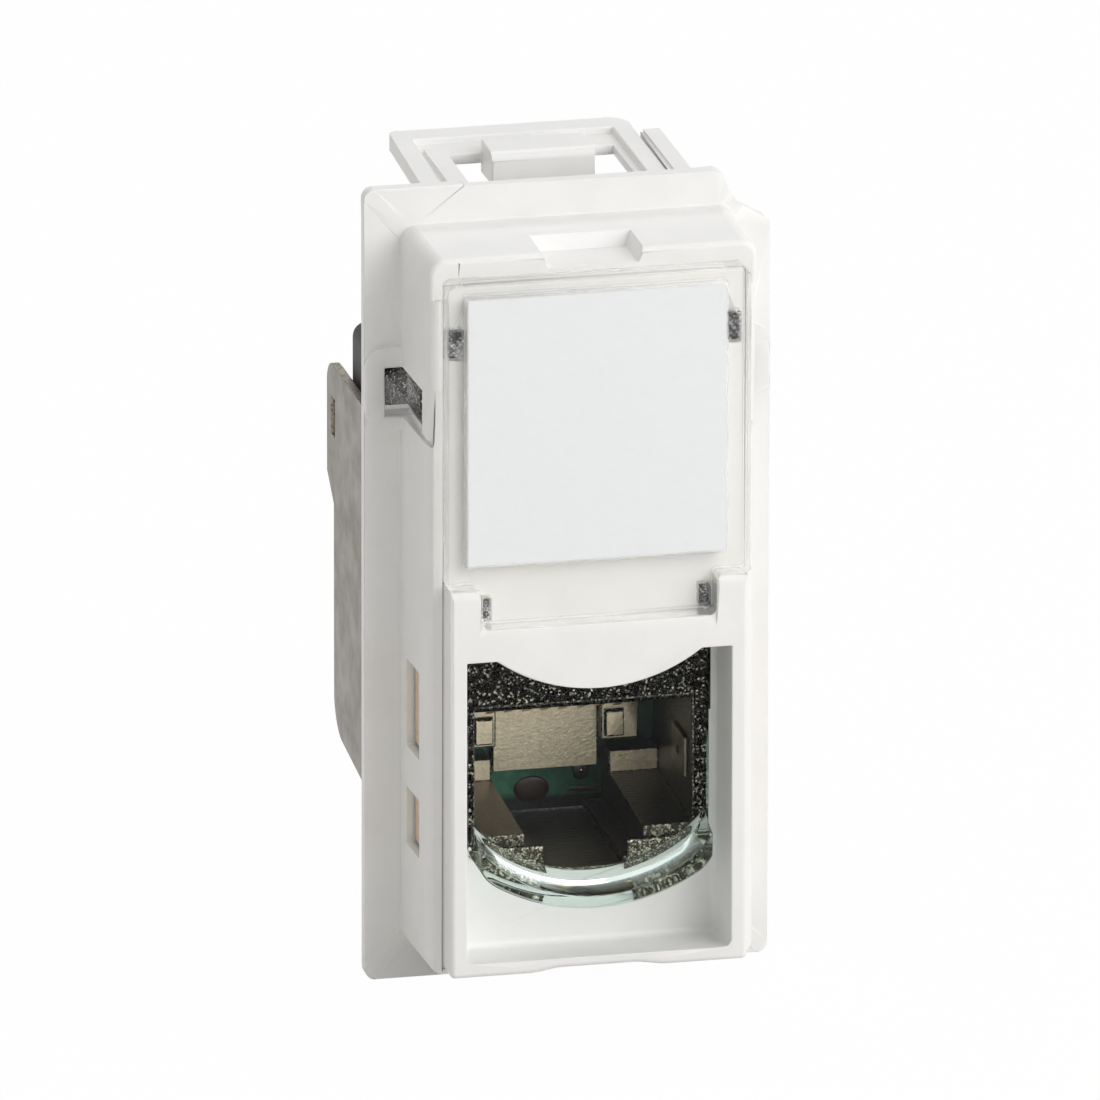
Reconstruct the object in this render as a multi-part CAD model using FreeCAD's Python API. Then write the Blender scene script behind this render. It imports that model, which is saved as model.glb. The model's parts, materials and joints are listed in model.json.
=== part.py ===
"""One-module shielded network wall socket with a sliding dust shutter.

Frame, in millimetres: +X to the right, +Y to the back, +Z up. The origin is the centre of the
flange's front face, which is the plane that seats against the cover plate.
"""
import FreeCAD
import Part
import math
import os

# Flange: one 22.5 x 45 module, with an S-shaped cut in its top right corner
FLANGE_WIDTH = 22.5
FLANGE_HEIGHT = 45.0
FLANGE_THICK = 0.8
FLANGE_CORNER = 0.65
FLANGE_TOP_CORNER = 0.6
FLANGE_TOP_STEP = 0.12
FLANGE_STEP_X = -5.8
CUT_DEPTH = 3.1
CUT_SIDE_R = 0.6
CUT_ELBOW_IN = 1.88
CUT_ELBOW_DOWN = 2.04
CUT_ELBOW_R = 1.6
CUT_TOP_IN = 2.68
CUT_TOP_R = 0.8
HOLE_TOP_DOWN = 9.3
HOLE_BOTTOM_UP = 5.5

# Raised body of the mounting frame, inside the flange's ledges
LEDGE_SIDE = 2.0
LEDGE_END = 2.1
BODY_DEPTH = 6.4
BODY_TAPER = 0.2
BODY_DRAFT = 0.1
BODY_CORNER = 0.9
BODY_EDGE = 0.3
BODY_SIDE_EDGE = 0.9
BODY_STRIP_EDGE = 0.75
BODY_WALL = 0.75
BODY_TOP_WALL = 1.5
BODY_BOTTOM_WALL = 0.45
STRIP_TOP_DOWN = 4.43
STRIP_BOTTOM_DOWN = 9.6
SEAM_X_IN = 1.6
SEAM_WIDTH = 0.1
SEAM_DEPTH = 0.2
PRY_REAR_Y = -3.05
PRY_LEAN = 0.4
PRY_HALF = 2.8
PRY_DRAFT = 0.35
PRY_DEPTH = 0.88

# Catch windows and slots in the frame's side walls
CATCH_TOP_DOWN = 10.0
CATCH_HEIGHT = 2.45
CATCH_BEYOND = 0.95
CATCH_FRONT_Y = -4.75
BOSS_OVER = 1.15
BOSS_UNDER = 1.1
BOSS_PROUD_LEFT = 0.4
BOSS_PROUD_RIGHT = 0.15
BOSS_CORNER = 1.2
SLIT_HEIGHT = 0.3
SLIT_FRONT_Y = -6.2
SLIT_SKIN = 0.45
SLOT_FRONT_Y = -4.05
SLOT_REAR_Y = -1.25
SLOTS_UP = [(13.8, 18.75), (8.2, 11.45)]

# Snap ring, rail and lugs behind the flange
RING_TOP_DOWN = 0.5
RING_THICK = 0.95
RING_LEFT_IN = 3.55
RING_SKEW = 0.4
RING_RIGHT_IN = 5.35
RING_REAR_Y = 12.05
RING_CORNER_LEFT = 0.6
RING_CORNER_RIGHT = 1.3
RING_RIM_LEFT = 1.05
RING_RIM_RIGHT = 1.05
RING_RIM_REAR = 1.75
RING_FLOOR_DROP = 0.38
RING_HOLE_LEFT_IN = 2.75
RING_HOLE_RIGHT_IN = 1.5
RING_HOLE_REAR_Y = 8.2
RING_BAR_WIDTH = 1.1
RING_BAR_DROP = 0.1
RING_BAR_ROOT = 0.6
LATCH_HALF_WIDTH = 2.87
LATCH_LENGTH = 2.4
LATCH_ROOT = 0.4
LATCH_RISE = 0.3
LATCH_HANG = 0.6
LATCH_EDGE = 0.5
RAIL_GAP = 0.12
RAIL_WIDTH = 1.08
RAIL_REAR_Y = 8.7
RAIL_RISE = 0.25
RAIL_HEIGHT = 1.4
RAIL_STEP = 0.16
LUG_WIDTH = 3.0
LUG_CENTRE_X = 4.6
LUG_LENGTH = 3.6
LUG_HEIGHT = 1.2
LUG_NOSE = 0.6

# Front bezel
BEZEL_MARGIN = 0.8
BEZEL_PROUD = 1.7
BEZEL_LAP = 0.05
BEZEL_EDGE = 0.3
SKIRT_GAP = 0.05
SKIRT_BACK_Y = -3.95
SKIRT_WALL = 0.35
SCOOP_HALF = 3.6
SCOOP_DEPTH = 0.22
SCOOP_RUN = 1.4
SCOOP_R = 3.0
BAND_WIDTH = 0.57
BAND_DEPTH = 0.12
APERTURE_SIDE = 0.92
APERTURE_TOP_UP = 20.45
APERTURE_LOW_FRONT_UP = 3.3
APERTURE_LOW_REAR_UP = 2.9
APERTURE_INNER_EDGE = 0.35
BROW_IN = 1.67
BROW_DROP = 1.88
BROW_THICK = 1.1
PORT_FRAME_MARGIN = 0.75
PORT_FRAME_LAP = 0.6
PORT_FRAME_END_LAP = 1.2
TRAY_THICK = 0.95
TRAY_PAD_PROUD = 0.65
TRAY_PAD_INSET = 0.05
GUIDE_RAIL = 0.65
GUIDE_GAP = 0.05
GUIDE_ROOM = 0.3
LIP_ROOM = 0.3

# Clear label window, its hooks and pegs, and the card behind it
WINDOW_OVERHANG = 0.1
WINDOW_BOTTOM_UP = 24.55
WINDOW_TOP_DOWN = 3.2
WINDOW_SEAT_GAP = 0.03
WINDOW_CORNER = 0.45
TONGUE_SIDE = 1.85
TONGUE_DROP = 2.25
TONGUE_GAP = 0.06
TONGUE_CORNER = 0.3
HOOK_SPACE = 0.15
HOOK_WIDTH = 0.63
HOOK_TOP_DOWN = 2.85
HOOK_HEIGHT = 1.6
PEG_INSET = 0.16
PEG_WIDTH = 0.53
PEG_UP = 0.21
PEG_HEIGHT = 1.13
HOOK_GAP = 0.06
HOOK_ROOT = 0.3
CARD_SIDE = 1.2
CARD_ABOVE = 1.15
CARD_BELOW_TOP = 1.0
CARD_THICK = 0.22
CARD_GAP = 0.08
CARD_FRONT_GAP = 0.04

# Clear shutter
SHUTTER_TRAVEL = 10.3
SHUTTER_FRONT_Y = -5.3
SHUTTER_THICK = 0.85
SHUTTER_SIDE_GAP = 0.61
SHUTTER_SHOULDER = 0.1
SHUTTER_SHOULDER_UP = 16.0
HEADER_BOTTOM_UP = 20.6
HEADER_HEIGHT = 2.5
LIP_FRONT_Y = -7.5
LIP_END_INSET = 0.27
LIP_TOP_UP = 7.35
LIP_TOP_RISE = 3.01
LIP_TOP_FALL = 0.78
LIP_LOW_UP = 5.8
LIP_LOW_RISE = 2.15
LIP_ROOT = 0.2

# Die-cast jack shell
SHELL_SIDE_GAP = 0.2
SHELL_FRONT_GAP = 0.05
SHELL_REAR_Y = 9.5
SHELL_TOP_DOWN = 13.1
SHELL_BOTTOM_GAP = 0.4
SHELL_WALL = 1.0
SHELL_CORNER = 0.6
HEAD_TOP_GAP = 0.3
HEAD_ROOT = 1.0
HEAD_REAR_Y = 0.6
HEAD_INSET = 0.2
PORT_WALL = 2.05
PORT_TOP_UP = 16.2
PORT_HEIGHT = 7.0
PORT_DEPTH_Y = 6.1
PORT_TOP_BEVEL = 0.35
KEY_STEP_HALF = 3.3
KEY_STEP_DROP = 1.65
KEY_SLOT_HALF = 2.2
KEY_SLOT_DROP = 0.5
ROOF_SIDE = 1.394
ROOF_HEIGHT = 1.9
ROOF_FRONT_Y = -2.4
PANEL_THICK = 0.46
PANEL_FOOT = 0.42
TIE_HEIGHT = 2.4
CHEEK_THICK = 1.35
CHEEK_WIDTH = 2.05
CHEEK_SIDE_GAP = 1.05
CHEEK_FOOT_GAP = 0.55
NUB_SPACE = 0.2
NUB_WIDTH = 1.0
NUB_HEIGHT = 1.45
NUB_UP = 0.25
NUB_PROUD = 0.35
SHELF_HEIGHT = 1.6
SHELF_PROUD = 0.45
LEDGE_RISE = 0.4
CATCH_LUG_SUNK = 0.25
CATCH_LUG_FRONT = 0.55
CATCH_LUG_REAR = 0.8
CATCH_LUG_EDGE = 0.5
RIB_SUNK = 0.5
RIB_FRONT = 0.1
LUG_GAP = 0.15
LUG_ROOT = 0.5
FIT_GAP = 0.05

# Contact carrier and its eight springs
CONTACT_COUNT = 8
CONTACT_PITCH = 1.016
CONTACT_WIDTH = 0.4
CONTACT_THICK = 0.3
CONTACT_SLOT = 0.5
CONTACT_BEND_Y = -1.2
CONTACT_BEND_R = 0.6
CONTACT_ROOT_RISE = 1.05
CONTACT_TIP_DROP = 2.45
CONTACT_TIP_GAP = 0.95

# Circuit board, insulation-displacement block and blades
BOARD_GAP = 0.1
BOARD_THICK = 1.0
BOARD_SIDE_GAP = 0.15
BOARD_END_GAP = 0.2
BLOCK_SIDE_STEP = 0.05
BLOCK_TOP_STEP = 0.2
BLOCK_BOTTOM_STEP = 2.8
BLOCK_DEPTH = 5.15
BLOCK_WALL = 1.2
WELL_FLOOR = 1.2
WELL_HALF = 3.5
ROW_INSET = 3.6
BLADE_COUNT = 4
BLADE_MARGIN = 0.7
BLADE_SPACE = 1.2
BLADE_THICK = 0.4
BLADE_GAP = 0.1
BLADE_SUNK = 0.4
BLADE_LEAD = 0.3
FORK_DEPTH = 3.4
FORK_GAP = 0.3
FORK_LEAD = 0.6
WIRE_SLOT = 1.3
WIRE_SLOT_PAST = 0.6
WIRE_SLOT_INWARD = 2.2

# Wire manager and shield collar
MANAGER_COVER_GAP = 0.2
MANAGER_TOP_STEP = 0.4
MANAGER_FOOT = 1.4
MANAGER_CORNER = 0.8
MANAGER_EDGE = 0.6
MANAGER_ROOF_GAP = 0.4
MANAGER_ROOF_THICK = 4.2
MANAGER_BLOCK_GAP = 0.15
COLLAR_BORE = 4.0
COLLAR_WALL = 0.7
COLLAR_SUNK = 0.4
COLLAR_LENGTH = 8.8
COLLAR_FLANGE_WIDTH = 0.5
COLLAR_FLANGE_THICK = 0.5
COLLAR_FIT = 0.02
NOTCH_WIDTH = 1.4
NOTCH_DEPTH = 2.2

# Rear cover plates and their hinges
COVER_SIDE_GAP = 0.4
COVER_THICK = 0.5
COVER_REAR_GAP = 0.15
COVER_EAR_REACH = 1.75
COVER_TOP_DOWN = 15.7
COVER_EAR_CORNER = 1.3
COVER_STEP_DOWN = 6.45
COVER_STEP_HEIGHT = 1.45
COVER_CURVE_UP = 10.3
COVER_CURVE_END_IN = 1.9
COVER_CURVE_END_DOWN = 2.0
COVER_CURVE_BULGE = 0.42
COVER_BOTTOM_UP = 6.8
COVER_FRONT_Y = 3.7
COVER_LIP_GAP = 0.1
COVER_LIP_DROP = 0.3
COVER_LIP_END = 0.5
COVER_SLIT_IN = 1.55
COVER_SLIT_WIDTH = 1.05
COVER_SLIT_DOWN = 1.85
COVER_SLIT_HEIGHT = 2.2
COVER_STRAP_LAP = 0.5
HINGE_PIN_R = 0.5
HINGE_RUN_GAP = 0.06
HINGE_PRESS_GAP = 0.005
KNUCKLE_WALL = 0.5
KNUCKLE_SIDE_GAP = 0.1
KNUCKLE_FRONT_GAP = 0.4
EAR_DOWN = 0.1
EAR_HEIGHT = 1.5
EAR_LOW_TOP_UP = 10.9
EAR_GAP = 0.2

# Shield springs on the port's side walls
SPRING_THICK = 0.2
SPRING_STANDOFF = 0.02
SPRING_FRONT_Y = -2.9
SPRING_REAR_Y = 0.2
SPRING_UP = 2.3
SPRING_HEIGHT = 2.2
DIMPLE_R = 0.35
DIMPLE_TIP_R = 0.17
DIMPLE_HEIGHT = 0.12

# How far a cutter runs past the face that it opens
PAST = 1.0

# Places across the width, worked out from the driving sizes
FLANGE_X = FLANGE_WIDTH / 2
BODY_REAR_X = FLANGE_X - LEDGE_SIDE
BODY_FRONT_X = BODY_REAR_X - BODY_TAPER
CAVITY_X = BODY_FRONT_X - BODY_WALL
BEZEL_X = BODY_FRONT_X - BEZEL_MARGIN
SKIRT_X = CAVITY_X - SKIRT_GAP
APERTURE_X = BEZEL_X - APERTURE_SIDE
WINDOW_X = BEZEL_X + WINDOW_OVERHANG
TONGUE_X = WINDOW_X - TONGUE_SIDE
CARD_X = WINDOW_X - CARD_SIDE
HOOK_X = CARD_X + HOOK_SPACE + HOOK_GAP
PEG_X = TONGUE_X - PEG_INSET - PEG_WIDTH
SHUTTER_X = APERTURE_X - SHUTTER_SIDE_GAP
HEADER_X = SKIRT_X - GUIDE_RAIL - GUIDE_GAP
LIP_HALF = SHUTTER_X - LIP_END_INSET
SHELL_X = CAVITY_X - SHELL_SIDE_GAP
HEAD_X = SHELL_X - HEAD_INSET
PORT_X = SHELL_X - PORT_WALL
PORT_FRAME_X = PORT_X + PORT_FRAME_MARGIN
CHEEK_X = PORT_X - CHEEK_SIDE_GAP
PANEL_X = CHEEK_X - CHEEK_WIDTH
CONTACT_X = [CONTACT_PITCH * (i - (CONTACT_COUNT - 1) / 2) for i in range(CONTACT_COUNT)]
ROOF_X = CONTACT_X[-1] + ROOF_SIDE
BOARD_X = SHELL_X - SHELL_WALL - BOARD_SIDE_GAP
BLOCK_X = BOARD_X - BLOCK_SIDE_STEP
BLADE_ROOM = 2 * (BLOCK_X - BLADE_MARGIN)
BLADE_WIDTH = (BLADE_ROOM - (BLADE_COUNT - 1) * BLADE_SPACE) / BLADE_COUNT
BLADE_X = [(BLADE_WIDTH + BLADE_SPACE) * (i - (BLADE_COUNT - 1) / 2) for i in range(BLADE_COUNT)]
COVER_INNER_X = SHELL_X + COVER_SIDE_GAP
COVER_OUTER_X = COVER_INNER_X + COVER_THICK
MANAGER_X = COVER_INNER_X - MANAGER_COVER_GAP
COLLAR_FLANGE_R = COLLAR_BORE + COLLAR_WALL + COLLAR_FLANGE_WIDTH
COVER_LIP_X = COLLAR_FLANGE_R + COVER_LIP_GAP
KNUCKLE_R = HINGE_PIN_R + KNUCKLE_WALL
HINGE_X = SHELL_X + KNUCKLE_SIDE_GAP + KNUCKLE_R
RING_LEFT_FRONT = RING_LEFT_IN - FLANGE_X
RING_LEFT_REAR = RING_LEFT_FRONT + RING_SKEW
RING_RIGHT = FLANGE_X - RING_RIGHT_IN

# Places along the depth
BODY_FRONT_Y = -BODY_DEPTH
BEZEL_FRONT_Y = BODY_FRONT_Y - BEZEL_PROUD
SKIRT_WALL_Y = SKIRT_BACK_Y - SKIRT_WALL
TRAY_REAR_Y = BODY_FRONT_Y + TRAY_THICK
WINDOW_REAR_Y = BODY_FRONT_Y - WINDOW_SEAT_GAP
CARD_REAR_Y = BODY_FRONT_Y - TRAY_PAD_PROUD
CARD_FRONT_Y = CARD_REAR_Y - CARD_THICK
SHUTTER_REAR_Y = SHUTTER_FRONT_Y + SHUTTER_THICK
SHELL_FRONT_Y = SKIRT_BACK_Y + SHELL_FRONT_GAP
PANEL_Y = PORT_DEPTH_Y - PANEL_THICK
CHEEK_Y = PORT_DEPTH_Y - CHEEK_THICK
SHELF_Y = CHEEK_Y - SHELF_PROUD
BOARD_FRONT_Y = PORT_DEPTH_Y + BOARD_GAP
BOARD_REAR_Y = BOARD_FRONT_Y + BOARD_THICK
BLOCK_FRONT_Y = BOARD_REAR_Y + FIT_GAP
BLOCK_REAR_Y = BLOCK_FRONT_Y + BLOCK_DEPTH
BLADE_REAR_Y = BLOCK_REAR_Y - BLADE_SUNK
FORK_Y = BLADE_REAR_Y - FORK_DEPTH
MANAGER_ROOF_Y = BLOCK_REAR_Y + MANAGER_ROOF_GAP
MANAGER_REAR_Y = MANAGER_ROOF_Y + MANAGER_ROOF_THICK
COLLAR_FRONT_Y = MANAGER_ROOF_Y + COLLAR_SUNK
COLLAR_REAR_Y = COLLAR_FRONT_Y + COLLAR_LENGTH
COLLAR_SEAT_Y = MANAGER_REAR_Y + FIT_GAP
COVER_LIP_Y = COLLAR_SEAT_Y + COLLAR_FLANGE_THICK + COVER_REAR_GAP
COVER_STEP_Y = COVER_LIP_Y + COVER_THICK
COVER_EAR_Y = COVER_STEP_Y + COVER_EAR_REACH
HINGE_Y = FLANGE_THICK + KNUCKLE_FRONT_GAP + KNUCKLE_R

# Heights counted from the flange's top edge
TOP = FLANGE_HEIGHT / 2
HOLE_TOP = TOP - HOLE_TOP_DOWN
BODY_TOP = TOP - LEDGE_END
CAVITY_TOP = BODY_TOP - BODY_TOP_WALL
STRIP_TOP = TOP - STRIP_TOP_DOWN
STRIP_BOTTOM = TOP - STRIP_BOTTOM_DOWN
CATCH_TOP = TOP - CATCH_TOP_DOWN
CATCH_BOTTOM = CATCH_TOP - CATCH_HEIGHT
RING_TOP = TOP - RING_TOP_DOWN
WINDOW_TOP = TOP - WINDOW_TOP_DOWN
CARD_TOP = WINDOW_TOP - CARD_BELOW_TOP
HOOK_TOP = WINDOW_TOP - HOOK_TOP_DOWN
SHELL_TOP = TOP - SHELL_TOP_DOWN
HEAD_TOP = HOLE_TOP - HEAD_TOP_GAP
BOARD_TOP = SHELL_TOP - SHELL_WALL - BOARD_END_GAP
BLOCK_TOP = BOARD_TOP - BLOCK_TOP_STEP
MANAGER_TOP = SHELL_TOP + MANAGER_TOP_STEP
COVER_TOP = TOP - COVER_TOP_DOWN
COVER_STEP_LOW = COVER_TOP - COVER_STEP_DOWN - COVER_STEP_HEIGHT
EAR_TOP = COVER_TOP - EAR_DOWN
KNUCKLE_TOP = EAR_TOP - EAR_HEIGHT - EAR_GAP

# Heights counted from the flange's bottom edge
FOOT = -FLANGE_HEIGHT / 2
HOLE_BOTTOM = FOOT + HOLE_BOTTOM_UP
BODY_BOTTOM = FOOT + LEDGE_END
CAVITY_BOTTOM = BODY_BOTTOM + BODY_BOTTOM_WALL
SLOTS_Z = [(FOOT + low, FOOT + high) for low, high in SLOTS_UP]
BEZEL_BOTTOM = CAVITY_BOTTOM - BEZEL_LAP
APERTURE_TOP = FOOT + APERTURE_TOP_UP
APERTURE_LOW_FRONT = FOOT + APERTURE_LOW_FRONT_UP
APERTURE_LOW_REAR = FOOT + APERTURE_LOW_REAR_UP
BROW_LOW = APERTURE_TOP - BROW_DROP
WINDOW_BOTTOM = FOOT + WINDOW_BOTTOM_UP
TONGUE_BOTTOM = WINDOW_BOTTOM - TONGUE_DROP
PEG_BOTTOM = TONGUE_BOTTOM + PEG_UP
CARD_BOTTOM = WINDOW_BOTTOM + CARD_ABOVE
SHUTTER_SHOULDER_Z = FOOT + SHUTTER_SHOULDER_UP
HEADER_BOTTOM = FOOT + HEADER_BOTTOM_UP
HEADER_TOP = HEADER_BOTTOM + HEADER_HEIGHT
GUIDE_TOP = HEADER_TOP + SHUTTER_TRAVEL + GUIDE_ROOM
LIP_TOP = FOOT + LIP_TOP_UP
LIP_TOP_END = LIP_TOP + LIP_TOP_RISE
LIP_LOW = FOOT + LIP_LOW_UP
LIP_LOW_END = LIP_LOW + LIP_LOW_RISE
SHELL_BOTTOM = HOLE_BOTTOM + SHELL_BOTTOM_GAP
PORT_TOP = FOOT + PORT_TOP_UP
PORT_BOTTOM = PORT_TOP - PORT_HEIGHT
KEY_STEP_LOW = PORT_BOTTOM - KEY_STEP_DROP
KEY_SLOT_LOW = KEY_STEP_LOW - KEY_SLOT_DROP
SHELF_TOP = PORT_BOTTOM + SHELF_HEIGHT
CHEEK_BOTTOM = SHELF_TOP + CHEEK_FOOT_GAP
SPRING_BOTTOM = PORT_BOTTOM + SPRING_UP
CONTACT_ROOT_Z = PORT_TOP + CONTACT_ROOT_RISE
BOARD_BOTTOM = SHELL_BOTTOM + SHELL_WALL + BOARD_END_GAP
BLOCK_BOTTOM = BOARD_BOTTOM + BLOCK_BOTTOM_STEP
BLOCK_MIDDLE = (BLOCK_TOP + BLOCK_BOTTOM) / 2
BLADE_ROWS_Z = [BLOCK_TOP - ROW_INSET, BLOCK_BOTTOM + ROW_INSET]
MANAGER_BOTTOM = BLOCK_BOTTOM - MANAGER_FOOT
COVER_CURVE_Z = FOOT + COVER_CURVE_UP
COVER_BOTTOM = FOOT + COVER_BOTTOM_UP
EAR_LOW_TOP = FOOT + EAR_LOW_TOP_UP
KNUCKLE_BOTTOM = EAR_LOW_TOP + EAR_GAP

V = FreeCAD.Vector


def near(a, b):
    """True where two lengths agree."""
    return abs(a - b) < 1e-6


def box(x0, x1, y0, y1, z0, z1):
    """Rectangular block between the given corners."""
    low = V(min(x0, x1), min(y0, y1), min(z0, z1))
    return Part.makeBox(abs(x1 - x0), abs(y1 - y0), abs(z1 - z0), low)


def cylinder_y(x, z, r, y0, y1):
    """Round bar along Y."""
    return Part.makeCylinder(r, y1 - y0, V(x, y0, z), V(0, 1, 0))


def cylinder_z(x, y, r, z0, z1):
    """Round bar along Z."""
    return Part.makeCylinder(r, z1 - z0, V(x, y, z0), V(0, 0, 1))


def prism(points, direction):
    """Solid from a flat outline of points swept along a direction."""
    wire = Part.makePolygon([V(*p) for p in points] + [V(*points[0])])
    return Part.Face(wire).extrude(V(*direction))


def prism_x(outline, x0, x1):
    """Solid from a Y-Z outline between two X planes."""
    return prism([(x0, y, z) for y, z in outline], (x1 - x0, 0, 0))


def rounded(points, y):
    """Wire in an X-Z plane through (x, z, r) corners, each rounded by a tangent arc of radius r."""
    ends = []
    for i, (x, z, r) in enumerate(points):
        corner = V(x, y, z)
        following = points[(i + 1) % len(points)]
        to_before = (V(points[i - 1][0], y, points[i - 1][1]) - corner).normalize()
        to_after = (V(following[0], y, following[1]) - corner).normalize()
        half = to_before.getAngle(to_after) / 2
        if r <= 0:
            ends.append((corner, corner, None))
            continue
        reach = r / math.tan(half)
        centre = corner + (to_before + to_after).normalize() * (r / math.sin(half))
        middle = centre + (corner - centre).normalize() * r
        ends.append((corner + to_before * reach, corner + to_after * reach, middle))
    edges = []
    for i, (start, end, middle) in enumerate(ends):
        if middle is not None:
            edges.append(Part.Arc(start, middle, end).toShape())
        edges.append(Part.LineSegment(end, ends[(i + 1) % len(ends)][0]).toShape())
    return Part.Wire(edges)


def rounded_plate(points, y0, y1):
    """Plate between two Y planes with an outline of (x, z, r) corners."""
    return Part.Face(rounded(points, y0)).extrude(V(0, y1 - y0, 0))


def rectangle(x0, x1, z0, z1, r):
    """Corners of a rectangle for rounded()."""
    return [(x0, z0, r), (x1, z0, r), (x1, z1, r), (x0, z1, r)]


def arc_through(x_end, z_end, z_mid, y):
    """Arc in an X-Z plane from (-x_end, z_end) through (0, z_mid) to (x_end, z_end)."""
    return Part.Arc(V(-x_end, y, z_end), V(0, y, z_mid), V(x_end, y, z_end)).toShape()


def arc_region(x, z_end, z_mid, z_far, y):
    """Face in an X-Z plane between an arc across the width and the level z_far."""
    corners = [V(x, y, z_end), V(x, y, z_far), V(-x, y, z_far), V(-x, y, z_end)]
    sides = [Part.LineSegment(a, b).toShape() for a, b in zip(corners, corners[1:])]
    return Part.Face(Part.Wire([arc_through(x, z_end, z_mid, y)] + sides))


def mirror_x(shape):
    """Mirror image across the plane X = 0."""
    return shape.mirror(V(0, 0, 0), V(1, 0, 0))


def fillet_where(shape, radius, wanted):
    """Round the edges whose middle point satisfies the test."""
    edges = []
    for edge in shape.Edges:
        if wanted(edge.valueAt((edge.FirstParameter + edge.LastParameter) / 2)):
            edges.append(edge)
    return shape.makeFillet(radius, edges)


def flange():
    """Flange plate with the S-shaped cut in its top right corner and the small step in its top edge."""
    x = FLANGE_X
    low_top = TOP - FLANGE_TOP_STEP
    outline = [
        (-x, FOOT, FLANGE_CORNER),
        (x, FOOT, FLANGE_CORNER),
        (x, TOP - CUT_DEPTH, CUT_SIDE_R),
        (x - CUT_ELBOW_IN, TOP - CUT_ELBOW_DOWN, CUT_ELBOW_R),
        (x - CUT_TOP_IN, low_top, CUT_TOP_R),
        (FLANGE_STEP_X + FLANGE_TOP_STEP, low_top, 0),
        (FLANGE_STEP_X, TOP, 0),
        (-x, TOP, FLANGE_TOP_CORNER),
    ]
    return rounded_plate(outline, 0, FLANGE_THICK)


def side_rounding(r, z0, z1):
    """Cutter that rounds the body's left front edge with radius r between two heights."""
    slope = BODY_TAPER / BODY_DEPTH
    side_in = V(-BODY_FRONT_X - slope * r, BODY_FRONT_Y + r, z0)
    front_in = V(-BODY_FRONT_X + r, BODY_FRONT_Y, z0)
    centre = V(front_in.x, side_in.y, z0)
    bulge = centre + V(-r, -r, 0) * math.sqrt(0.5)
    front_out = V(front_in.x, BODY_FRONT_Y - PAST, z0)
    corner = V(-BODY_REAR_X, front_out.y, z0)
    side_out = V(-BODY_REAR_X, side_in.y, z0)
    edges = [
        Part.Arc(side_in, bulge, front_in),
        Part.LineSegment(front_in, front_out),
        Part.LineSegment(front_out, corner),
        Part.LineSegment(corner, side_out),
        Part.LineSegment(side_out, side_in),
    ]
    wire = Part.Wire([edge.toShape() for edge in edges])
    return Part.Face(wire).extrude(V(0, 0, z1 - z0))


def raised_body():
    """Raised front housing, tapering to its front face, with rounded edges and a squarer left corner."""
    d = BODY_DRAFT
    rear = rounded(rectangle(-BODY_REAR_X, BODY_REAR_X, BODY_BOTTOM, BODY_TOP, BODY_CORNER), 0)
    front = rounded(
        rectangle(-BODY_FRONT_X, BODY_FRONT_X, BODY_BOTTOM + d, BODY_TOP - d, BODY_CORNER), BODY_FRONT_Y
    )
    body = Part.makeLoft([rear, front], True, True)
    body = fillet_where(body, BODY_EDGE, lambda p: near(p.y, BODY_FRONT_Y))
    lower = side_rounding(BODY_SIDE_EDGE, BODY_BOTTOM, STRIP_BOTTOM)
    strip = side_rounding(BODY_STRIP_EDGE, STRIP_BOTTOM, STRIP_TOP)
    return body.cut(lower).cut(strip).cut(mirror_x(lower)).cut(mirror_x(strip))


def corner_seam():
    """Cutter for the wedge-shaped seam beside the squarer top left corner."""
    x = SEAM_X_IN - BODY_FRONT_X
    high = BODY_TOP - BODY_EDGE
    wedge = [(x, WINDOW_TOP), (x + SEAM_WIDTH, high), (x, high)]
    return prism([(px, BODY_FRONT_Y, pz) for px, pz in wedge], (0, SEAM_DEPTH, 0))


def pry_recess():
    """Pocket with leaning walls in the top of the body, where a blade lifts the label window."""
    floor = BODY_TOP - PRY_DEPTH
    y0 = BODY_FRONT_Y - PAST
    rims = []
    for high in (0, PRY_DEPTH + PAST):
        half = PRY_HALF - PRY_DRAFT * (1 - high / PRY_DEPTH)
        y1 = PRY_REAR_Y - PRY_LEAN * (1 - high / PRY_DEPTH)
        z = floor + high
        corners = [V(-half, y0, z), V(half, y0, z), V(half, y1, z), V(-half, y1, z)]
        rims.append(Part.makePolygon(corners + corners[:1]))
    return Part.makeLoft(rims, True, True)


def catch_boss(proud):
    """Raised pad on the flange around the left catch window."""
    low = CATCH_BOTTOM - BOSS_UNDER
    high = CATCH_TOP + BOSS_OVER
    outline = [
        (-FLANGE_X, low, BOSS_CORNER),
        (-BODY_FRONT_X, low, 0),
        (-BODY_FRONT_X, high, 0),
        (-FLANGE_X, high, BOSS_CORNER),
    ]
    return rounded_plate(outline, -proud, FLANGE_THICK)


def side_cut(side, x, y0, y1, z0, z1):
    """Cutter from inside the cavity out to x on one side."""
    return box(side * (CAVITY_X - PAST), side * x, y0, y1, z0, z1)


def catch_window(side):
    """Cutter for the catch window through the flange and the side wall, with the slit below it."""
    window = side_cut(
        side, BODY_REAR_X + CATCH_BEYOND, CATCH_FRONT_Y, FLANGE_THICK + PAST, CATCH_BOTTOM, CATCH_TOP
    )
    slit_in = side * (CAVITY_X + SLIT_SKIN)
    slit_out = side * (BODY_REAR_X + CATCH_BEYOND)
    return window.fuse(box(slit_in, slit_out, SLIT_FRONT_Y, 0, CATCH_BOTTOM - SLIT_HEIGHT, CATCH_BOTTOM))


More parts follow.
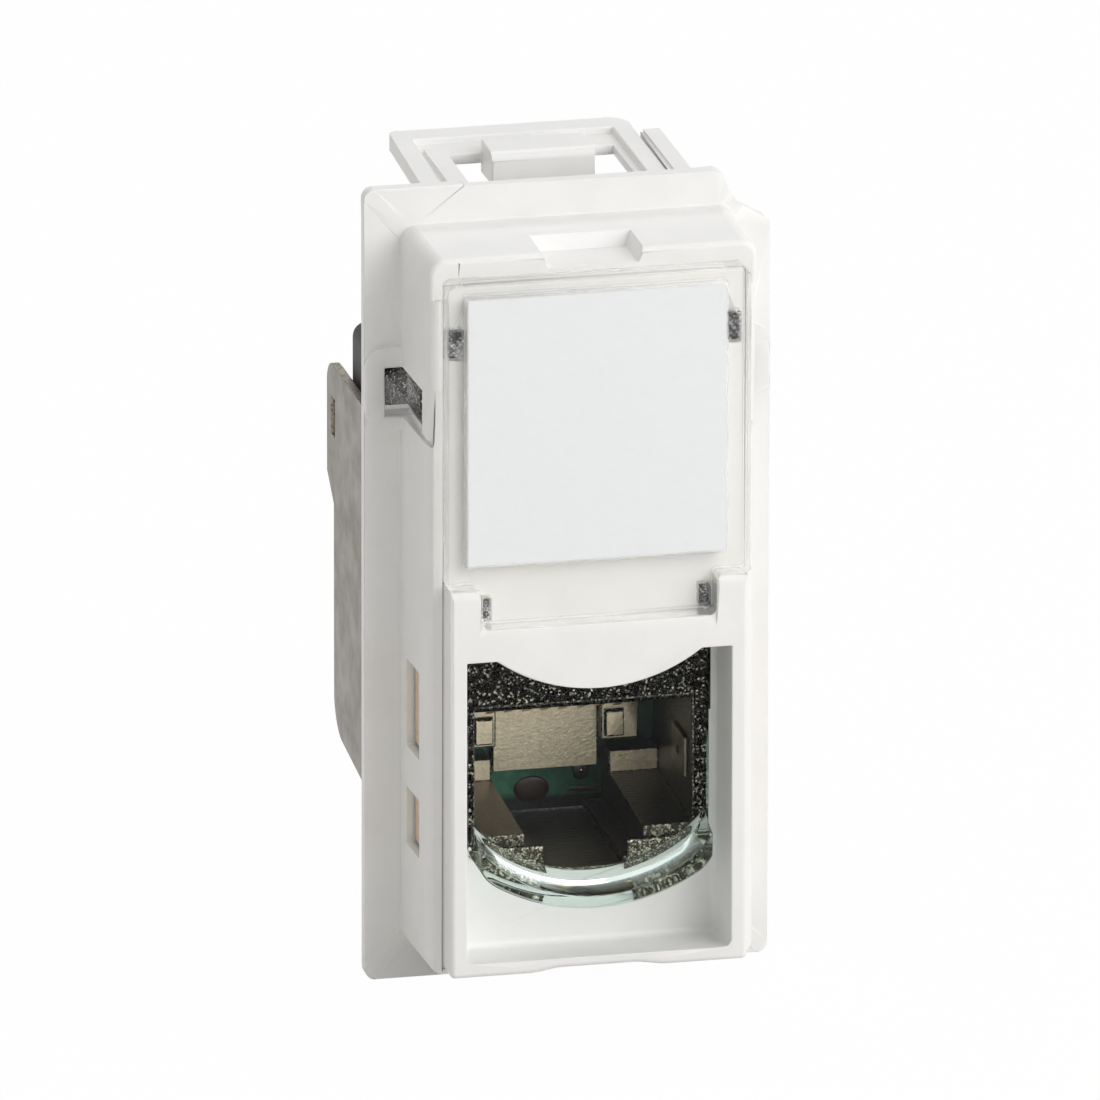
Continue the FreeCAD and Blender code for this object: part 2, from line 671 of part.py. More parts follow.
def snap_ring():
    """Flexible snap ring behind the top edge: rim, lower floor with a hole, bar and latch block."""
    low = RING_TOP - RING_THICK
    latch_top = RING_TOP + LATCH_RISE
    latch_rear = RING_HOLE_REAR_Y + LATCH_ROOT
    latch_front = RING_HOLE_REAR_Y - LATCH_LENGTH
    left_in = RING_LEFT_FRONT + RING_RIM_LEFT
    left_in_rear = RING_LEFT_REAR + RING_RIM_LEFT
    right_in = RING_RIGHT - RING_RIM_RIGHT
    rear_in = RING_REAR_Y - RING_RIM_REAR
    rear = RING_REAR_Y
    outer = [(RING_LEFT_FRONT, 0), (RING_RIGHT, 0), (RING_RIGHT, rear), (RING_LEFT_REAR, rear)]
    ring = prism([(x, y, low) for x, y in outer], (0, 0, RING_THICK))
    for side, radius in ((-1, RING_CORNER_LEFT), (1, RING_CORNER_RIGHT)):
        ring = fillet_where(
            ring, radius, lambda p: near(p.y, rear) and near(p.z, low + RING_THICK / 2) and side * p.x > 0
        )
    inner = [(left_in, 0), (right_in, 0), (right_in, rear_in), (left_in_rear, rear_in)]
    sunk = prism([(x, y, RING_TOP - RING_FLOOR_DROP) for x, y in inner], (0, 0, RING_THICK))
    hole_left = RING_LEFT_FRONT + RING_HOLE_LEFT_IN
    hole_right = RING_RIGHT - RING_HOLE_RIGHT_IN
    hole = box(hole_left, hole_right, FLANGE_THICK, RING_HOLE_REAR_Y, low - PAST, RING_TOP + PAST)
    bar_rear = RING_HOLE_REAR_Y + RING_BAR_ROOT
    bar = box(hole_left - RING_BAR_WIDTH, hole_left, 0, bar_rear, low, RING_TOP - RING_BAR_DROP)
    latch = box(-LATCH_HALF_WIDTH, LATCH_HALF_WIDTH, latch_front, latch_rear, low - LATCH_HANG, latch_top)
    latch = fillet_where(latch, LATCH_EDGE, lambda p: near(p.z, latch_top) and near(p.y, latch_front))
    return ring.cut(sunk).cut(hole).fuse(bar).fuse(latch)


def top_rail():
    """Straight guide rail to the right of the snap ring, with a small step along its left edge."""
    left = RING_RIGHT + RAIL_GAP
    right = left + RAIL_WIDTH
    top = RING_TOP + RAIL_RISE
    rail = box(left, right, 0, RAIL_REAR_Y, top - RAIL_HEIGHT, top)
    step_x = left + RAIL_STEP
    step_z = top - RAIL_STEP
    return rail.cut(box(left - PAST, step_x, FLANGE_THICK, RAIL_REAR_Y + PAST, step_z, top + PAST))


def bottom_lugs():
    """Two fixed wedge lugs behind the flange's bottom edge."""
    low = FOOT + RING_TOP_DOWN
    wedge = [(0, low), (LUG_LENGTH, low), (LUG_LENGTH, low + LUG_NOSE), (0, low + LUG_HEIGHT)]
    left = prism_x(wedge, -LUG_CENTRE_X - LUG_WIDTH / 2, -LUG_CENTRE_X + LUG_WIDTH / 2)
    return left.fuse(mirror_x(left))


def mounting_frame():
    """White frame: flange, raised body with its cavity and windows, snap ring, rail and lugs."""
    shape = flange().fuse(raised_body()).fuse(catch_boss(BOSS_PROUD_LEFT))
    shape = shape.fuse(mirror_x(catch_boss(BOSS_PROUD_RIGHT)))
    cavity = box(-CAVITY_X, CAVITY_X, BODY_FRONT_Y - PAST, 0, CAVITY_BOTTOM, CAVITY_TOP)
    hole = box(-CAVITY_X, CAVITY_X, -PAST, FLANGE_THICK + PAST, HOLE_BOTTOM, HOLE_TOP)
    shape = shape.cut(cavity).cut(hole).cut(pry_recess()).cut(corner_seam())
    for side in (-1, 1):
        shape = shape.cut(catch_window(side))
        for low, high in SLOTS_Z:
            shape = shape.cut(side_cut(side, BODY_REAR_X + PAST, SLOT_FRONT_Y, SLOT_REAR_Y, low, high))
    return shape.fuse(snap_ring()).fuse(top_rail()).fuse(bottom_lugs()).removeSplitter()


def aperture_cutter():
    """Recess seen through the bezel: straight sides, a sloped bottom and the brow left at the top."""
    front = BEZEL_FRONT_Y - PAST
    slope = (APERTURE_LOW_REAR - APERTURE_LOW_FRONT) / (SKIRT_WALL_Y - BEZEL_FRONT_Y)
    side = [
        (front, APERTURE_LOW_FRONT - slope * PAST),
        (SKIRT_WALL_Y, APERTURE_LOW_REAR),
        (SKIRT_WALL_Y, APERTURE_TOP),
        (front, APERTURE_TOP),
    ]
    recess = prism_x(side, -APERTURE_X, APERTURE_X)

    def inner_edge(p):
        side_corner = near(abs(p.x), APERTURE_X) and p.z < LIP_LOW
        return side_corner or (near(p.y, SKIRT_WALL_Y) and p.z < APERTURE_TOP)

    recess = fillet_where(recess, APERTURE_INNER_EDGE, inner_edge)
    brow = arc_region(APERTURE_X - BROW_IN, APERTURE_TOP, BROW_LOW, APERTURE_TOP + PAST, front)
    brow = brow.extrude(V(0, PAST + BROW_THICK, 0))
    return recess.cut(brow)


def port_frame_cutter():
    """Opening in the recess's back wall around the port: straight sides and an arc below."""
    z_end = LIP_LOW_END + PORT_FRAME_END_LAP
    z_mid = LIP_LOW + PORT_FRAME_LAP
    y0 = SHUTTER_REAR_Y
    return arc_region(PORT_FRAME_X, z_end, z_mid, GUIDE_TOP, y0).extrude(V(0, SKIRT_BACK_Y + PAST - y0, 0))


def bezel_outline():
    """Front outline of the bezel's proud part, with the shallow scoop in its bottom edge."""
    x = BEZEL_X
    low = BEZEL_BOTTOM
    high = WINDOW_BOTTOM - TONGUE_GAP
    return [
        (-x, low, BEZEL_EDGE),
        (-SCOOP_HALF, low, SCOOP_R),
        (-SCOOP_HALF + SCOOP_RUN, low + SCOOP_DEPTH, SCOOP_R),
        (SCOOP_HALF - SCOOP_RUN, low + SCOOP_DEPTH, SCOOP_R),
        (SCOOP_HALF, low, SCOOP_R),
        (x, low, BEZEL_EDGE),
        (x, high, 0),
        (-x, high, 0),
    ]


def tongue_notch():
    """Cutter for the notch that takes the window's tongue."""
    x = TONGUE_X + TONGUE_GAP
    low = TONGUE_BOTTOM - TONGUE_GAP
    high = WINDOW_BOTTOM + PAST
    outline = [(-x, low, WINDOW_CORNER), (x, low, WINDOW_CORNER), (x, high, 0), (-x, high, 0)]
    return rounded_plate(outline, BEZEL_FRONT_Y - PAST, BODY_FRONT_Y)


def snap_places(side, gap):
    """Extents in X and Z of a window hook and a tongue peg on one side, widened by a gap."""
    hook_low = HOOK_TOP - HOOK_HEIGHT
    hook = (side * (HOOK_X - gap), side * (HOOK_X + HOOK_WIDTH + gap), hook_low - gap, HOOK_TOP + gap)
    peg_top = PEG_BOTTOM + PEG_HEIGHT
    peg = (side * (PEG_X - gap), side * (PEG_X + PEG_WIDTH + gap), PEG_BOTTOM - gap, peg_top + gap)
    return [hook, peg]


def window_band(x0, x1, z):
    """Cutter for the narrow sloped band on the bezel's front face below one edge of the window."""
    front = BEZEL_FRONT_Y - BAND_DEPTH
    rear = BEZEL_FRONT_Y + BAND_DEPTH
    outline = [(front, z - 2 * BAND_WIDTH), (rear, z), (rear, z + PAST), (front, z + PAST)]
    return prism_x(outline, x0, x1)


def front_bezel():
    """White bezel: proud lower part with the port aperture, skirt and guides behind, tray above."""
    proud = rounded_plate(bezel_outline(), BEZEL_FRONT_Y, BODY_FRONT_Y)
    shoulder_z = WINDOW_BOTTOM - TONGUE_GAP
    proud = fillet_where(
        proud, BEZEL_EDGE, lambda p: near(p.y, BEZEL_FRONT_Y) and not near(p.z, shoulder_z)
    )
    tray = box(-SKIRT_X, SKIRT_X, BODY_FRONT_Y, TRAY_REAR_Y, APERTURE_TOP, CAVITY_TOP - SKIRT_GAP)
    skirt = box(-SKIRT_X, SKIRT_X, BODY_FRONT_Y, SKIRT_BACK_Y, CAVITY_BOTTOM + SKIRT_GAP, APERTURE_TOP)
    pad_x = CARD_X - TRAY_PAD_INSET
    pad = box(-pad_x, pad_x, CARD_REAR_Y, BODY_FRONT_Y, CARD_BOTTOM, CARD_TOP)
    shape = proud.fuse(tray).fuse(skirt).fuse(pad)
    for side in (-1, 1):
        outer = side * SKIRT_X
        guide = box(side * (HEADER_X + GUIDE_GAP), outer, TRAY_REAR_Y, SKIRT_BACK_Y, APERTURE_TOP, GUIDE_TOP)
        keeper = box(side * PORT_FRAME_X, outer, SKIRT_WALL_Y, SKIRT_BACK_Y, APERTURE_TOP, GUIDE_TOP)
        shape = shape.fuse(guide).fuse(keeper)
    shape = shape.cut(aperture_cutter()).cut(port_frame_cutter())
    pocket_x = LIP_HALF + LIP_ROOM
    pocket_top = LIP_TOP_END + SHUTTER_TRAVEL + LIP_ROOM
    pocket_front = BEZEL_FRONT_Y + BROW_THICK
    shape = shape.cut(box(-pocket_x, pocket_x, pocket_front, SHUTTER_FRONT_Y, BROW_LOW, pocket_top))
    shape = shape.cut(tongue_notch())
    notch_x = TONGUE_X + TONGUE_GAP
    shape = shape.cut(window_band(-notch_x, notch_x, TONGUE_BOTTOM - TONGUE_GAP))
    for side in (-1, 1):
        shape = shape.cut(window_band(side * notch_x, side * BODY_REAR_X, shoulder_z))
    shape = fillet_where(
        shape,
        TONGUE_CORNER,
        lambda p: near(abs(p.x), notch_x) and near(p.z, shoulder_z) and p.y < BODY_FRONT_Y,
    )
    for side in (-1, 1):
        for x0, x1, z0, z1 in snap_places(side, HOOK_GAP):
            shape = shape.cut(box(x0, x1, BODY_FRONT_Y, TRAY_REAR_Y, z0, z1))
    return shape.removeSplitter()


def label_card():
    """Blank card between the tray's pad and the window."""
    return box(-CARD_X, CARD_X, CARD_FRONT_Y, CARD_REAR_Y, CARD_BOTTOM, CARD_TOP)


def label_window():
    """Clear cap over the card, with a tongue below, and hooks and pegs that snap into the tray."""
    x = WINDOW_X
    t = TONGUE_X
    outline = [
        (-t, TONGUE_BOTTOM, WINDOW_CORNER),
        (t, TONGUE_BOTTOM, WINDOW_CORNER),
        (t, WINDOW_BOTTOM, TONGUE_CORNER),
        (x, WINDOW_BOTTOM, TONGUE_CORNER),
        (x, WINDOW_TOP, WINDOW_CORNER),
        (-x, WINDOW_TOP, WINDOW_CORNER),
        (-x, WINDOW_BOTTOM, TONGUE_CORNER),
        (-t, WINDOW_BOTTOM, TONGUE_CORNER),
    ]
    shape = rounded_plate(outline, BEZEL_FRONT_Y, WINDOW_REAR_Y)
    pocket_x = CARD_X + CARD_GAP
    pocket_y = CARD_FRONT_Y - CARD_FRONT_GAP
    pocket = box(-pocket_x, pocket_x, pocket_y, BODY_FRONT_Y, CARD_BOTTOM - CARD_GAP, CARD_TOP + CARD_GAP)
    shape = shape.cut(pocket)
    for side in (-1, 1):
        for x0, x1, z0, z1 in snap_places(side, 0):
            shape = shape.fuse(box(x0, x1, WINDOW_REAR_Y - HOOK_ROOT, TRAY_REAR_Y, z0, z1))
    return shape.removeSplitter()


def finger_lip():
    """Arc-shaped ledge: under its upper arc, which sinks towards the front, and over its lower arc."""
    rear = SHUTTER_FRONT_Y + LIP_ROOT
    reach = LIP_FRONT_Y - rear
    fall = -LIP_TOP_FALL * reach / (LIP_FRONT_Y - SHUTTER_FRONT_Y)
    under = arc_region(LIP_HALF, LIP_TOP_END, LIP_TOP, LIP_LOW - PAST, rear)
    over = arc_region(LIP_HALF, LIP_LOW_END, LIP_LOW, LIP_TOP_END + PAST, rear)
    return under.extrude(V(0, reach, fall)).common(over.extrude(V(0, reach, 0)))


def shutter():
    """Clear plate that covers the port, with its guide header and arc-shaped finger lip."""
    low_r = (LIP_HALF**2 + LIP_LOW_RISE**2) / (2 * LIP_LOW_RISE)
    low_end = LIP_LOW + low_r - math.sqrt(low_r**2 - SHUTTER_X**2)
    plate = arc_region(SHUTTER_X, low_end, LIP_LOW, HEADER_TOP, SHUTTER_FRONT_Y)
    plate = plate.extrude(V(0, SHUTTER_THICK, 0))
    wide = SHUTTER_X + SHUTTER_SHOULDER
    for half, low in ((wide, SHUTTER_SHOULDER_Z), (HEADER_X, HEADER_BOTTOM)):
        plate = plate.fuse(box(-half, half, SHUTTER_FRONT_Y, SHUTTER_REAR_Y, low, HEADER_TOP))
    return plate.fuse(finger_lip()).removeSplitter()


def port_cutter():
    """Port with a bevelled top edge, latch keyway and roof pocket, from the front back to the board."""
    y0 = SHELL_FRONT_Y - PAST
    y1 = BOARD_FRONT_Y
    port = box(-PORT_X, PORT_X, y0, y1, PORT_BOTTOM, PORT_TOP)
    step = box(-KEY_STEP_HALF, KEY_STEP_HALF, y0, y1, KEY_STEP_LOW, PORT_BOTTOM)
    slot = box(-KEY_SLOT_HALF, KEY_SLOT_HALF, y0, y1, KEY_SLOT_LOW, KEY_STEP_LOW)
    roof = box(-ROOF_X, ROOF_X, ROOF_FRONT_Y, y1, PORT_TOP, PORT_TOP + ROOF_HEIGHT)
    bevel_y = SHELL_FRONT_Y + PORT_TOP_BEVEL
    bevel_z = PORT_TOP + PORT_TOP_BEVEL
    bevel = [(y0, PORT_TOP), (bevel_y, PORT_TOP), (SHELL_FRONT_Y, bevel_z), (y0, bevel_z)]
    return port.fuse(step).fuse(slot).fuse(roof).fuse(prism_x(bevel, -PORT_X, PORT_X))


def port_back():
    """Port's back: a sunk panel hung from a tie, a cheek and a nub on each side of it, and two shelves."""
    rear = PORT_DEPTH_Y
    root_x = PORT_X + LUG_ROOT
    shape = box(-PANEL_X, PANEL_X, PANEL_Y, rear, PORT_BOTTOM + PANEL_FOOT, PORT_TOP)
    shape = shape.fuse(box(-root_x, root_x, PANEL_Y, rear, PORT_TOP - TIE_HEIGHT, PORT_TOP))
    nub_low = CHEEK_BOTTOM + NUB_UP
    nub_y = CHEEK_Y - NUB_PROUD
    ramp = [(SHELL_FRONT_Y, PORT_BOTTOM), (SHELF_Y, PORT_BOTTOM + LEDGE_RISE), (SHELF_Y, PORT_BOTTOM)]
    for side in (-1, 1):
        shape = shape.fuse(box(side * PANEL_X, side * CHEEK_X, CHEEK_Y, rear, CHEEK_BOTTOM, PORT_TOP))
        nub_in = side * (PANEL_X + NUB_SPACE)
        nub_out = side * (PANEL_X + NUB_SPACE + NUB_WIDTH)
        shape = shape.fuse(box(nub_in, nub_out, nub_y, rear, nub_low, nub_low + NUB_HEIGHT))
        shape = shape.fuse(box(side * KEY_STEP_HALF, side * root_x, SHELF_Y, rear, PORT_BOTTOM, SHELF_TOP))
        shape = shape.fuse(prism_x(ramp, side * KEY_STEP_HALF, side * root_x))
    return shape


def hinge_ear(side, z0):
    """Rounded ear on the shell's side that holds one end of a hinge pin."""
    x = side * HINGE_X
    z1 = z0 + EAR_HEIGHT
    root = side * (SHELL_X - LUG_ROOT)
    web = box(x, root, HINGE_Y - KNUCKLE_R, HINGE_Y + KNUCKLE_R, z0, z1)
    ear = cylinder_z(x, HINGE_Y, KNUCKLE_R, z0, z1)
    hole = cylinder_z(x, HINGE_Y, HINGE_PIN_R + HINGE_PRESS_GAP, z0 - PAST, z1 + PAST)
    return ear.fuse(web).cut(hole)


def catch_lug(side):
    """Rounded lug on the snap head that springs into the frame's catch window."""
    reach = BODY_REAR_X - CATCH_LUG_SUNK
    lug = box(
        side * (HEAD_X - LUG_ROOT),
        side * reach,
        CATCH_FRONT_Y + CATCH_LUG_FRONT,
        HEAD_REAR_Y - CATCH_LUG_REAR,
        CATCH_BOTTOM + LUG_GAP,
        CATCH_TOP - LUG_GAP,
    )
    return fillet_where(lug, CATCH_LUG_EDGE, lambda p: near(abs(p.x), reach))


def jack_shell():
    """Die-cast shell: front block with the port, rear pocket, snap head, lugs, ribs and hinge ears."""
    x = SHELL_X
    inner_x = x - SHELL_WALL
    shape = box(-x, x, SHELL_FRONT_Y, SHELL_REAR_Y, SHELL_BOTTOM, SHELL_TOP)
    shape = fillet_where(
        shape, SHELL_CORNER, lambda p: near(abs(p.x), x) and SHELL_FRONT_Y < p.y < SHELL_REAR_Y
    )
    shape = shape.fuse(box(-HEAD_X, HEAD_X, SHELL_FRONT_Y, HEAD_REAR_Y, SHELL_TOP - HEAD_ROOT, HEAD_TOP))
    pocket_low = SHELL_BOTTOM + SHELL_WALL
    pocket_high = SHELL_TOP - SHELL_WALL
    shape = shape.cut(box(-inner_x, inner_x, PORT_DEPTH_Y, SHELL_REAR_Y + PAST, pocket_low, pocket_high))
    shape = shape.cut(port_cutter()).fuse(port_back())
    for side in (-1, 1):
        shape = shape.fuse(catch_lug(side))
        root = side * (x - LUG_ROOT)
        reach = side * (BODY_REAR_X - RIB_SUNK)
        for low, high in SLOTS_Z:
            rib = box(
                root, reach, SHELL_FRONT_Y + RIB_FRONT, SLOT_REAR_Y - LUG_GAP, low + LUG_GAP, high - LUG_GAP
            )
            shape = shape.fuse(rib)
        shape = shape.fuse(hinge_ear(side, EAR_TOP - EAR_HEIGHT))
        shape = shape.fuse(hinge_ear(side, EAR_LOW_TOP - EAR_HEIGHT))
    return shape.removeSplitter()


def contact_carrier():
    """Moulded insert in the port's roof, with a slot for each contact spring."""
    x = ROOF_X - FIT_GAP
    top = PORT_TOP + ROOF_HEIGHT - FIT_GAP
    shape = box(-x, x, ROOF_FRONT_Y + FIT_GAP, PORT_DEPTH_Y, PORT_TOP + FIT_GAP, top)
    slot_front = CONTACT_BEND_Y - CONTACT_BEND_R - CONTACT_THICK / 2 - FIT_GAP
    half = CONTACT_SLOT / 2
    slot_rear = PORT_DEPTH_Y + PAST
    slot_top = CONTACT_ROOT_Z + CONTACT_THICK / 2
    for x in CONTACT_X:
        shape = shape.cut(box(x - half, x + half, slot_front, slot_rear, PORT_TOP - PAST, slot_top))
    return shape.removeSplitter()


def contact(x):
    """Spring wire: from the board forwards under the roof, round a bend and back down into the port."""
    r = CONTACT_BEND_R
    half = CONTACT_THICK / 2
    top_z = CONTACT_ROOT_Z
    left = x - CONTACT_WIDTH / 2
    centre = V(left, CONTACT_BEND_Y, top_z - r)
    tip = V(left, CHEEK_Y - CONTACT_TIP_GAP, PORT_TOP - CONTACT_TIP_DROP)
    to_tip = tip - centre
    lean = math.atan2(to_tip.z, to_tip.y) - math.acos(r / to_tip.Length)

    def bend_point(angle, radius):
        """Point on the bend at an angle measured from +Y towards +Z."""
        return centre + V(0, math.cos(angle), math.sin(angle)) * radius

    quarter = math.pi / 2
    middle = (quarter + lean + 2 * math.pi) / 2
    out = V(0, math.cos(lean), math.sin(lean)) * half
    root_high = V(left, BOARD_FRONT_Y, top_z + half)
    root_low = V(left, BOARD_FRONT_Y, top_z - half)
    edges = [
        Part.LineSegment(root_high, bend_point(quarter, r + half)),
        Part.Arc(bend_point(quarter, r + half), bend_point(middle, r + half), bend_point(lean, r + half)),
        Part.LineSegment(bend_point(lean, r + half), tip + out),
        Part.LineSegment(tip + out, tip - out),
        Part.LineSegment(tip - out, bend_point(lean, r - half)),
        Part.Arc(bend_point(lean, r - half), bend_point(middle, r - half), bend_point(quarter, r - half)),
        Part.LineSegment(bend_point(quarter, r - half), root_low),
        Part.LineSegment(root_low, root_high),
    ]
    wire = Part.Wire([edge.toShape() for edge in edges])
    return Part.Face(wire).extrude(V(CONTACT_WIDTH, 0, 0))


def circuit_board():
    """Board that closes the back of the port and carries springs in front and blades behind."""
    return box(-BOARD_X, BOARD_X, BOARD_FRONT_Y, BOARD_REAR_Y, BOARD_BOTTOM, BOARD_TOP)


def idc_block():
    """Block behind the board with a pocket for each blade, a wire slot across it and a middle well."""
    y1 = BLOCK_REAR_Y + PAST
    shape = box(-BLOCK_X, BLOCK_X, BLOCK_FRONT_Y, BLOCK_REAR_Y, BLOCK_BOTTOM, BLOCK_TOP)
    pocket_x = BLADE_WIDTH / 2 + BLADE_GAP
    pocket_z = BLADE_THICK / 2 + BLADE_GAP
    for z, outward in zip(BLADE_ROWS_Z, (1, -1)):
        slot_in = z - outward * WIRE_SLOT_INWARD
        slot_out = z + outward * (ROW_INSET + WIRE_SLOT_PAST)
        for x in BLADE_X:
            shape = shape.cut(box(x - pocket_x, x + pocket_x, BOARD_REAR_Y, y1, z - pocket_z, z + pocket_z))
            shape = shape.cut(box(x - WIRE_SLOT / 2, x + WIRE_SLOT / 2, FORK_Y, y1, slot_in, slot_out))
    well_x = BLOCK_X - BLOCK_WALL
    low = BLOCK_MIDDLE - WELL_HALF
    well = box(-well_x, well_x, BLOCK_FRONT_Y + WELL_FLOOR, y1, low, low + 2 * WELL_HALF)
    return shape.cut(well).removeSplitter()


def idc_blade(x, z):
    """Forked blade that stands on the board's rear face and bites the wire."""
    half = BLADE_WIDTH / 2
    right = [
        (half, BOARD_REAR_Y),
        (half, BLADE_REAR_Y - BLADE_LEAD),
        (half - BLADE_LEAD, BLADE_REAR_Y),
        (FORK_GAP, BLADE_REAR_Y),
        (FORK_GAP / 2, BLADE_REAR_Y - FORK_LEAD),
        (FORK_GAP / 2, FORK_Y),
    ]
    left = [(-px, py) for px, py in reversed(right)]
    return prism([(x + px, py, z - BLADE_THICK / 2) for px, py in right + left], (0, 0, BLADE_THICK))


def wire_manager():
    """Black cap that holds the wires over the blades, with the cable hole in its rear wall."""
    front = SHELL_REAR_Y + FIT_GAP
    outline = rectangle(-MANAGER_X, MANAGER_X, MANAGER_BOTTOM, MANAGER_TOP, MANAGER_CORNER)
    shape = rounded_plate(outline, front, MANAGER_REAR_Y)
    shape = fillet_where(shape, MANAGER_EDGE, lambda p: near(p.y, MANAGER_REAR_Y))
    gap = MANAGER_BLOCK_GAP
    chamber_x = BLOCK_X + gap
    shape = shape.cut(
        box(-chamber_x, chamber_x, front - PAST, MANAGER_ROOF_Y, BLOCK_BOTTOM - gap, BLOCK_TOP + gap)
    )
    hole_r = COLLAR_BORE + COLLAR_WALL + COLLAR_FIT
    shape = shape.cut(cylinder_y(0, BLOCK_MIDDLE, hole_r, MANAGER_ROOF_Y - PAST, MANAGER_REAR_Y + PAST))
    notch_y = front + NOTCH_DEPTH
    for x in BLADE_X:
        x0 = x - NOTCH_WIDTH / 2
        x1 = x + NOTCH_WIDTH / 2
        shape = shape.cut(box(x0, x1, front - PAST, notch_y, BLOCK_TOP, MANAGER_TOP + PAST))
        shape = shape.cut(box(x0, x1, front - PAST, notch_y, MANAGER_BOTTOM - PAST, BLOCK_BOTTOM))
    return shape.removeSplitter()


def shield_collar():
    """Metal collar through the manager's rear wall that takes the cable's screen."""
    tube = cylinder_y(0, BLOCK_MIDDLE, COLLAR_BORE + COLLAR_WALL, COLLAR_FRONT_Y, COLLAR_REAR_Y)
    ring = cylinder_y(0, BLOCK_MIDDLE, COLLAR_FLANGE_R, COLLAR_SEAT_Y, COLLAR_SEAT_Y + COLLAR_FLANGE_THICK)
    bore = cylinder_y(0, BLOCK_MIDDLE, COLLAR_BORE, COLLAR_FRONT_Y - PAST, COLLAR_REAR_Y + PAST)
    return tube.fuse(ring).cut(bore)


def cover_outline(x):
    """Side outline of a rear cover plate: eared top, stepped rear edge and swept bottom corner."""
    corner = COVER_EAR_CORNER
    ear = V(x, COVER_EAR_Y, COVER_TOP)
    ear_start = ear - V(0, corner, 0)
    ear_end = ear - V(0, 0, corner)
    ear_mid = ear + V(0, corner, corner) * (math.sqrt(0.5) - 1)
    step_high = ear - V(0, 0, COVER_STEP_DOWN)
    step_low = V(x, COVER_STEP_Y, COVER_STEP_LOW)
    curve_start = V(x, COVER_STEP_Y, COVER_CURVE_Z)
    curve_end = curve_start - V(0, COVER_CURVE_END_IN, COVER_CURVE_END_DOWN)
    across = V(0, COVER_CURVE_END_DOWN, -COVER_CURVE_END_IN).normalize()
    curve_mid = (curve_start + curve_end) * 0.5 + across * COVER_CURVE_BULGE
    front_low = V(x, COVER_FRONT_Y, COVER_BOTTOM)
    front_high = V(x, COVER_FRONT_Y, COVER_TOP)
    edges = [
        Part.LineSegment(front_high, ear_start),
        Part.Arc(ear_start, ear_mid, ear_end),
        Part.LineSegment(ear_end, step_high),
        Part.LineSegment(step_high, step_low),
        Part.LineSegment(step_low, curve_start),
        Part.Arc(curve_start, curve_mid, curve_end),
        Part.LineSegment(curve_end, front_low),
        Part.LineSegment(front_low, front_high),
    ]
    return Part.Wire([edge.toShape() for edge in edges])


def left_cover():
    """Stamped rear cover plate: side cheek with a latch slit, return lip behind and hinge knuckle."""
    outer = -COVER_OUTER_X
    inner = -COVER_INNER_X
    shape = Part.Face(cover_outline(outer)).extrude(V(COVER_THICK, 0, 0))
    lip_low = COVER_CURVE_Z + COVER_LIP_END
    lip_top = COVER_STEP_LOW - COVER_LIP_DROP
    lip = box(outer, -COVER_LIP_X, COVER_LIP_Y, COVER_STEP_Y, lip_low, lip_top)
    slit_rear = COVER_EAR_Y - COVER_SLIT_IN + COVER_SLIT_WIDTH / 2
    slit_top = COVER_TOP - COVER_SLIT_DOWN
    slit_low = slit_top - COVER_SLIT_HEIGHT
    slit = box(outer - PAST, inner + PAST, slit_rear - COVER_SLIT_WIDTH, slit_rear, slit_low, slit_top)
    knuckle = cylinder_z(-HINGE_X, HINGE_Y, KNUCKLE_R, KNUCKLE_BOTTOM, KNUCKLE_TOP)
    strap = box(outer, inner, HINGE_Y, COVER_FRONT_Y + COVER_STRAP_LAP, KNUCKLE_BOTTOM, KNUCKLE_TOP)
    bore_r = HINGE_PIN_R + HINGE_RUN_GAP
    bore = cylinder_z(-HINGE_X, HINGE_Y, bore_r, KNUCKLE_BOTTOM - PAST, KNUCKLE_TOP + PAST)
    return shape.fuse(lip).cut(slit).fuse(knuckle).fuse(strap).cut(bore).removeSplitter()


def left_pin():
    """Steel pin through the shell's ears and the cover's knuckle."""
    return cylinder_z(-HINGE_X, HINGE_Y, HINGE_PIN_R, EAR_LOW_TOP - EAR_HEIGHT, EAR_TOP)


def left_spring():
    """Small shield spring on the port's left wall, with a contact dimple."""
    x0 = -PORT_X + SPRING_STANDOFF
    x1 = x0 + SPRING_THICK
    tab = box(x0, x1, SPRING_FRONT_Y, SPRING_REAR_Y, SPRING_BOTTOM, SPRING_BOTTOM + SPRING_HEIGHT)
    middle = V(x1, (SPRING_FRONT_Y + SPRING_REAR_Y) / 2, SPRING_BOTTOM + SPRING_HEIGHT / 2)
    return tab.fuse(Part.makeCone(DIMPLE_R, DIMPLE_TIP_R, DIMPLE_HEIGHT, middle, V(1, 0, 0)))


def sub_parts():
    """Every sub-part of the socket by name."""
    parts = {
        "mounting_frame": mounting_frame(),
        "front_bezel": front_bezel(),
        "label_card": label_card(),
        "label_window": label_window(),
        "shutter": shutter(),
        "jack_shell": jack_shell(),
        "contact_carrier": contact_carrier(),
        "circuit_board": circuit_board(),
        "idc_block": idc_block(),
        "wire_manager": wire_manager(),
        "shield_collar": shield_collar(),
        "left_cover": left_cover(),
        "right_cover": mirror_x(left_cover()),
        "hinge_pin_left": left_pin(),
        "hinge_pin_right": mirror_x(left_pin()),
        "shield_spring_left": left_spring(),
        "shield_spring_right": mirror_x(left_spring()),
    }
    for i, x in enumerate(CONTACT_X):
        parts["contact_%d" % (i + 1)] = contact(x)
    places = [(x, z) for z in BLADE_ROWS_Z for x in BLADE_X]
    for i, (x, z) in enumerate(places):
        parts["idc_blade_%d" % (i + 1)] = idc_blade(x, z)
    return parts


def main():
    """Write one STEP file per sub-part."""
    os.makedirs("parts", exist_ok=True)
    for name, shape in sub_parts().items():
        shape.exportStep("parts/%s.step" % name)
        print(name, len(shape.Solids), shape.isValid(), round(shape.Volume, 3))


main()
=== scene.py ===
import json
import math

